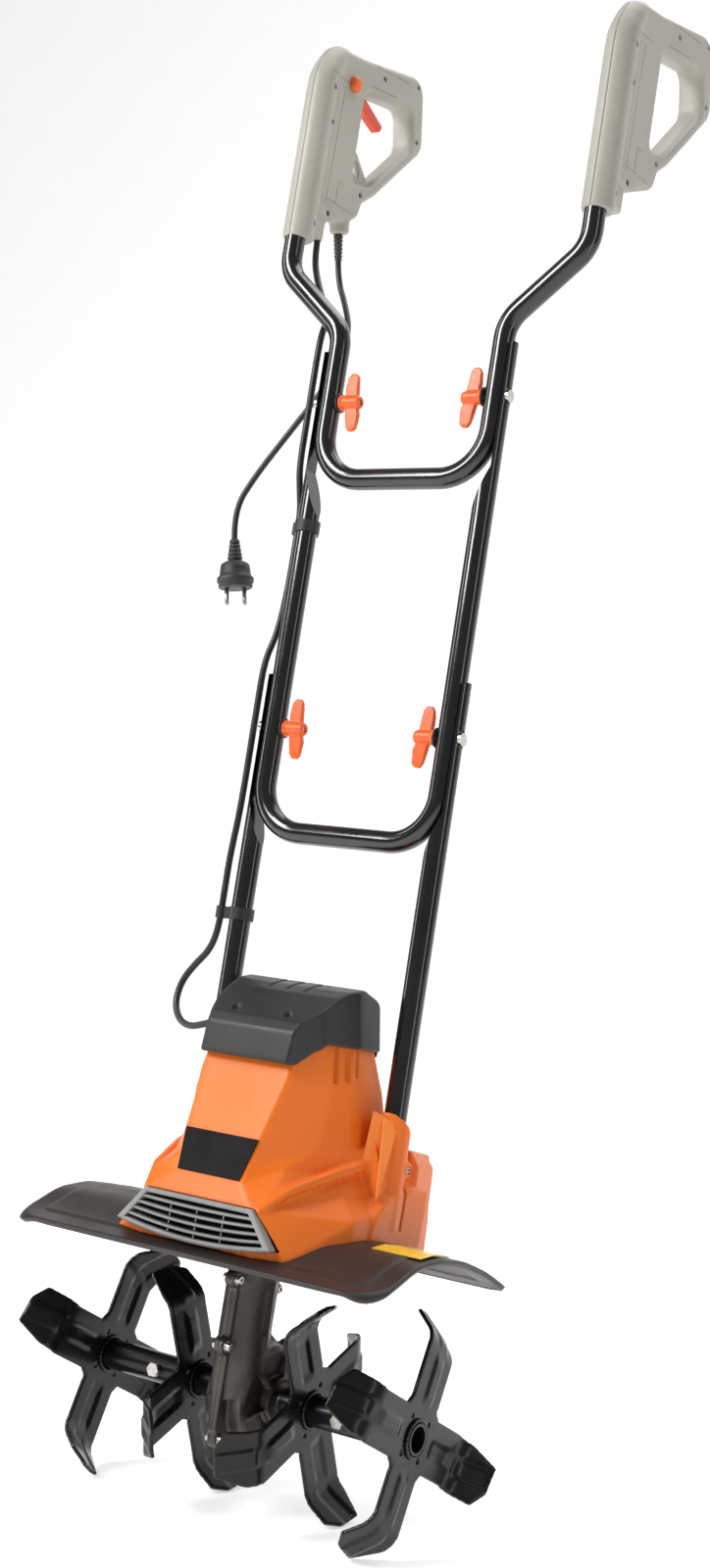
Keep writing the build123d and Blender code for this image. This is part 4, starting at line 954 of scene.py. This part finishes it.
# The switch lever in the left loop, and the orange lock button above it.
trigger_red = finish("trigger_red", (0.78, 0.07, 0.015), (0.7, 0.055, 0.012), 40, 0.38, 0.06, 1600, 0.00007)
lever = bmesh.new()
lever_side = [
    (72.4, 1364, 0.5), (80, 1364.5, 2), (122, 1349, 3.4),
    (117, 1340.5, 3.4), (90, 1348, 6), (72.4, 1353, 0.5),
]
lofted(lever, [
    [(-grip_x + x, *p) for p in rounded(lever_side, g)]
    for x, g in ((-5.8, 1.2), (-4.6, 0), (4.6, 0), (5.8, 1.2))
])
fitted("trigger_lever", shaped(lever, broken_edges), "upper_handle", trigger_red, "switch_lever")
button = bmesh.new()
button_ring = [
    tuple(math.copysign(abs(share) ** 0.7, share) for share in (math.cos(t), math.sin(t)))
    for t in (2 * math.pi * i / 36 for i in range(36))
]
lofted(button, [
    [(-grip_x + 14.0 + x, 44 + (7.4 - d) * c, 1361 + (8.0 - d) * s) for c, s in button_ring]
    for x, d in ((0, 0.4), (0.5, 0), (5.0, 0.2), (6.6, 0.9), (7.6, 2.4), (7.9, 4.5))
])
fitted("lock_knob", shaped(button), "upper_handle", orange_nylon, "lock_button")

# ---- Mains lead ---------------------------------------------------------------------
# A short captive lead in black PVC that hangs from the left grip's chin through a ribbed
# strain relief, down to a two-pin moulded plug.
cable_sheath = finish("cable_sheath", (0.012, 0.012, 0.012), (0.02, 0.02, 0.02), 50, 0.38, 0.07, 1200,
                      0.00006)
# the lighter grey given for sharp edges is a painted edge highlight
soft_black = finish("soft_black", (0.014, 0.014, 0.014), (0.026, 0.025, 0.024), 60, 0.5, 0.08, 1500, 0.0001,
                    edge_highlight=(0.05, 0.05, 0.05))
mains_route = [
    (-176.5, 84, 1178), (-176.2, 89.6, 1156.7), (-160, 86, 1129), (-140, 74, 1095), (-134, 62, 1054),
    (-151, 53, 1012), (-181, 48, 966), (-209, 43, 922), (-226, 37, 882), (-221, 40, 850),
]


def at(x, y, z):
    """A point given in the machine's own frame in millimetres, in metres where it stands."""
    return machine @ (Vector((x, y, z)) / 1000)


def lead_curve(name, route, radius):
    """A lead whose line is a smooth spline that the route's points pull along."""
    data = bpy.data.curves.new(name, "CURVE")
    data.dimensions = "3D"
    spline = data.splines.new("NURBS")
    spline.points.add(len(route) - 1)
    for point, place in zip(spline.points, route):
        point.co = (*at(*place), 1)
    spline.order_u = 3
    spline.use_endpoint_u = True
    spline.resolution_u = 14
    data.bevel_depth = radius
    data.bevel_resolution = 5
    data.use_fill_caps = True
    data.materials.append(cable_sheath)
    item = bpy.data.objects.new(name, data)
    bpy.context.scene.collection.objects.link(item)
    return item


relief_end = Vector((-176.5, 84, 1178))
relief_way = Vector((0.5, 10, -38)).normalized()
relief = bmesh.new()
relief_steps = [(0, 5.4), (9, 5.4)]
for ring in range(8):
    along, radius = 10 + ring * 4.2, 5.5 - ring * 0.16
    relief_steps += [
        (along, radius), (along + 2.4, radius), (along + 2.7, radius - 0.9), (along + 3.9, radius - 0.9),
    ]
turned(relief, relief_end - relief_way * 45, relief_end, relief_steps + [(44, 4.4), (45, 3.6)], 28)
relief_piece = fitted("mains_relief_boot", shaped(relief), "upper_handle", soft_black, "mains_relief")

plug_foot = Vector(mains_route[-1])
plug_way = (plug_foot - Vector(mains_route[-2])).normalized()
plug_side = Vector((0.8, 0.6, 0.1))
plug_side = (plug_side - plug_way * plug_side.dot(plug_way)).normalized()
plug_steps = [(0, 4.4)]
for ring in range(5):
    along, radius = 1.5 + ring * 4.4, 5.4 + ring * 0.62
    plug_steps += [
        (along, radius), (along + 2.6, radius + 0.3),
        (along + 3.0, radius - 1.0), (along + 4.0, radius - 0.9),
    ]
plug_steps += [
    (24, 8.4), (25, 11.5), (27.5, 15.2), (33, 16.2), (39.5, 16.9), (41.2, 18.6),
    (42.2, 19.7), (46.4, 19.8), (47.2, 19.2), (47.6, 18.3), (52.2, 18.2), (53, 17.4),
]
plug = bmesh.new()
turned(plug, plug_foot, plug_foot + plug_way * 53, plug_steps, 56)
plug_piece = fitted("mains_plug_body", shaped(plug), "upper_handle", soft_black, "mains_plug")
pins = bmesh.new()
for side in (-1, 1):
    root = plug_foot + plug_way * 52 + plug_side * 9.5 * side
    turned(pins, root, root + plug_way * 20, [(0, 2.35), (18.4, 2.35), (19.4, 1.9), (20, 1.1)], 20)
plug_pins = fitted("mains_plug_pins", shaped(pins), "upper_handle", zinc)

mains = lead_curve("mains_lead", mains_route, 0.00325)
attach(mains, "upper_handle")
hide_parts("mains_cord")

# ---- Motor lead ---------------------------------------------------------------------
# The same black lead from the left grip's switch down to the motor, clipped beside the
# left-hand tubes.  Where the handle folds, it is drawn as two short straight stretches.
handle_leads = {
    "upper": ("upper_handle", [
        (-176, 40, 1190), (-176, 40, 1164), (-166, 37, 1138), (-150, 31, 1112), (-134, 24, 1084),
        (-124.5, 4, 1058), (-124.5, 4, 1030),
    ]),
    "middle": ("middle_handle", [
        (-124.5, 4, 940), (-124.5, 4, 918), (-122, 8, 893), (-119.4, 11.52, 872), (-119.4, 11.52, 834),
        (-120, 12, 790), (-122, 9, 742), (-129, 4, 712), (-129, 4, 688),
    ]),
    "lower": ("chassis", [
        (-129, 4, 598), (-129, 4, 558), (-134.5, 6.5, 510), (-134.2, 6.31, 473), (-134.2, 6.31, 433),
        (-143, 9, 411), (-159, 10, 395), (-171, 8, 376), (-171, 3, 354), (-158, -4, 338),
        (-139, -10, 332), (-118, -13, 337), (-97, -15, 345), (-72.3, -15, 345),
    ]),
}
handle_lead_r, flex_half, flex_rings = 3.5, 45, 60
for name, (body, route) in handle_leads.items():
    stretch = lead_curve(f"handle_lead_{name}", route, handle_lead_r / 1000)
    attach(stretch, body)
    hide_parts(f"motor_lead_{name}")
for name, x, pivot_z, low_body, high_body in (
    ("lower", -129, 643, "chassis", "middle_handle"),
    ("upper", -124.5, 985, "middle_handle", "upper_handle"),
):
    flex = bmesh.new()
    lofted(flex, [
        [
            (x + handle_lead_r * math.cos(t), handle_y + handle_lead_r * math.sin(t),
             pivot_z - flex_half + 2 * flex_half * k / flex_rings)
            for t in (2 * math.pi * i / 20 for i in range(20))
        ]
        for k in range(flex_rings + 1)
    ])
    mesh = shaped(flex)
    mesh.transform(machine @ Matrix.Scale(0.001, 4))
    mesh.materials.append(cable_sheath)
    piece = bpy.data.objects.new(f"handle_lead_flex_{name}", mesh)
    bpy.context.scene.collection.objects.link(piece)
    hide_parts(f"motor_lead_flex_{name}")
    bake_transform(piece)

# Two black nylon clips, snapped round a tube and closed with a lug behind it, hold the lead.
repaint("lead_clip_lower", black_nylon)
repaint("lead_clip_middle", black_nylon)

# ---- Motor --------------------------------------------------------------------------
# A wound motor in its cast frame, bolted on top of the gear case.  The housing and the cap
# close it in on every side.
repaint("motor", cast_metal)
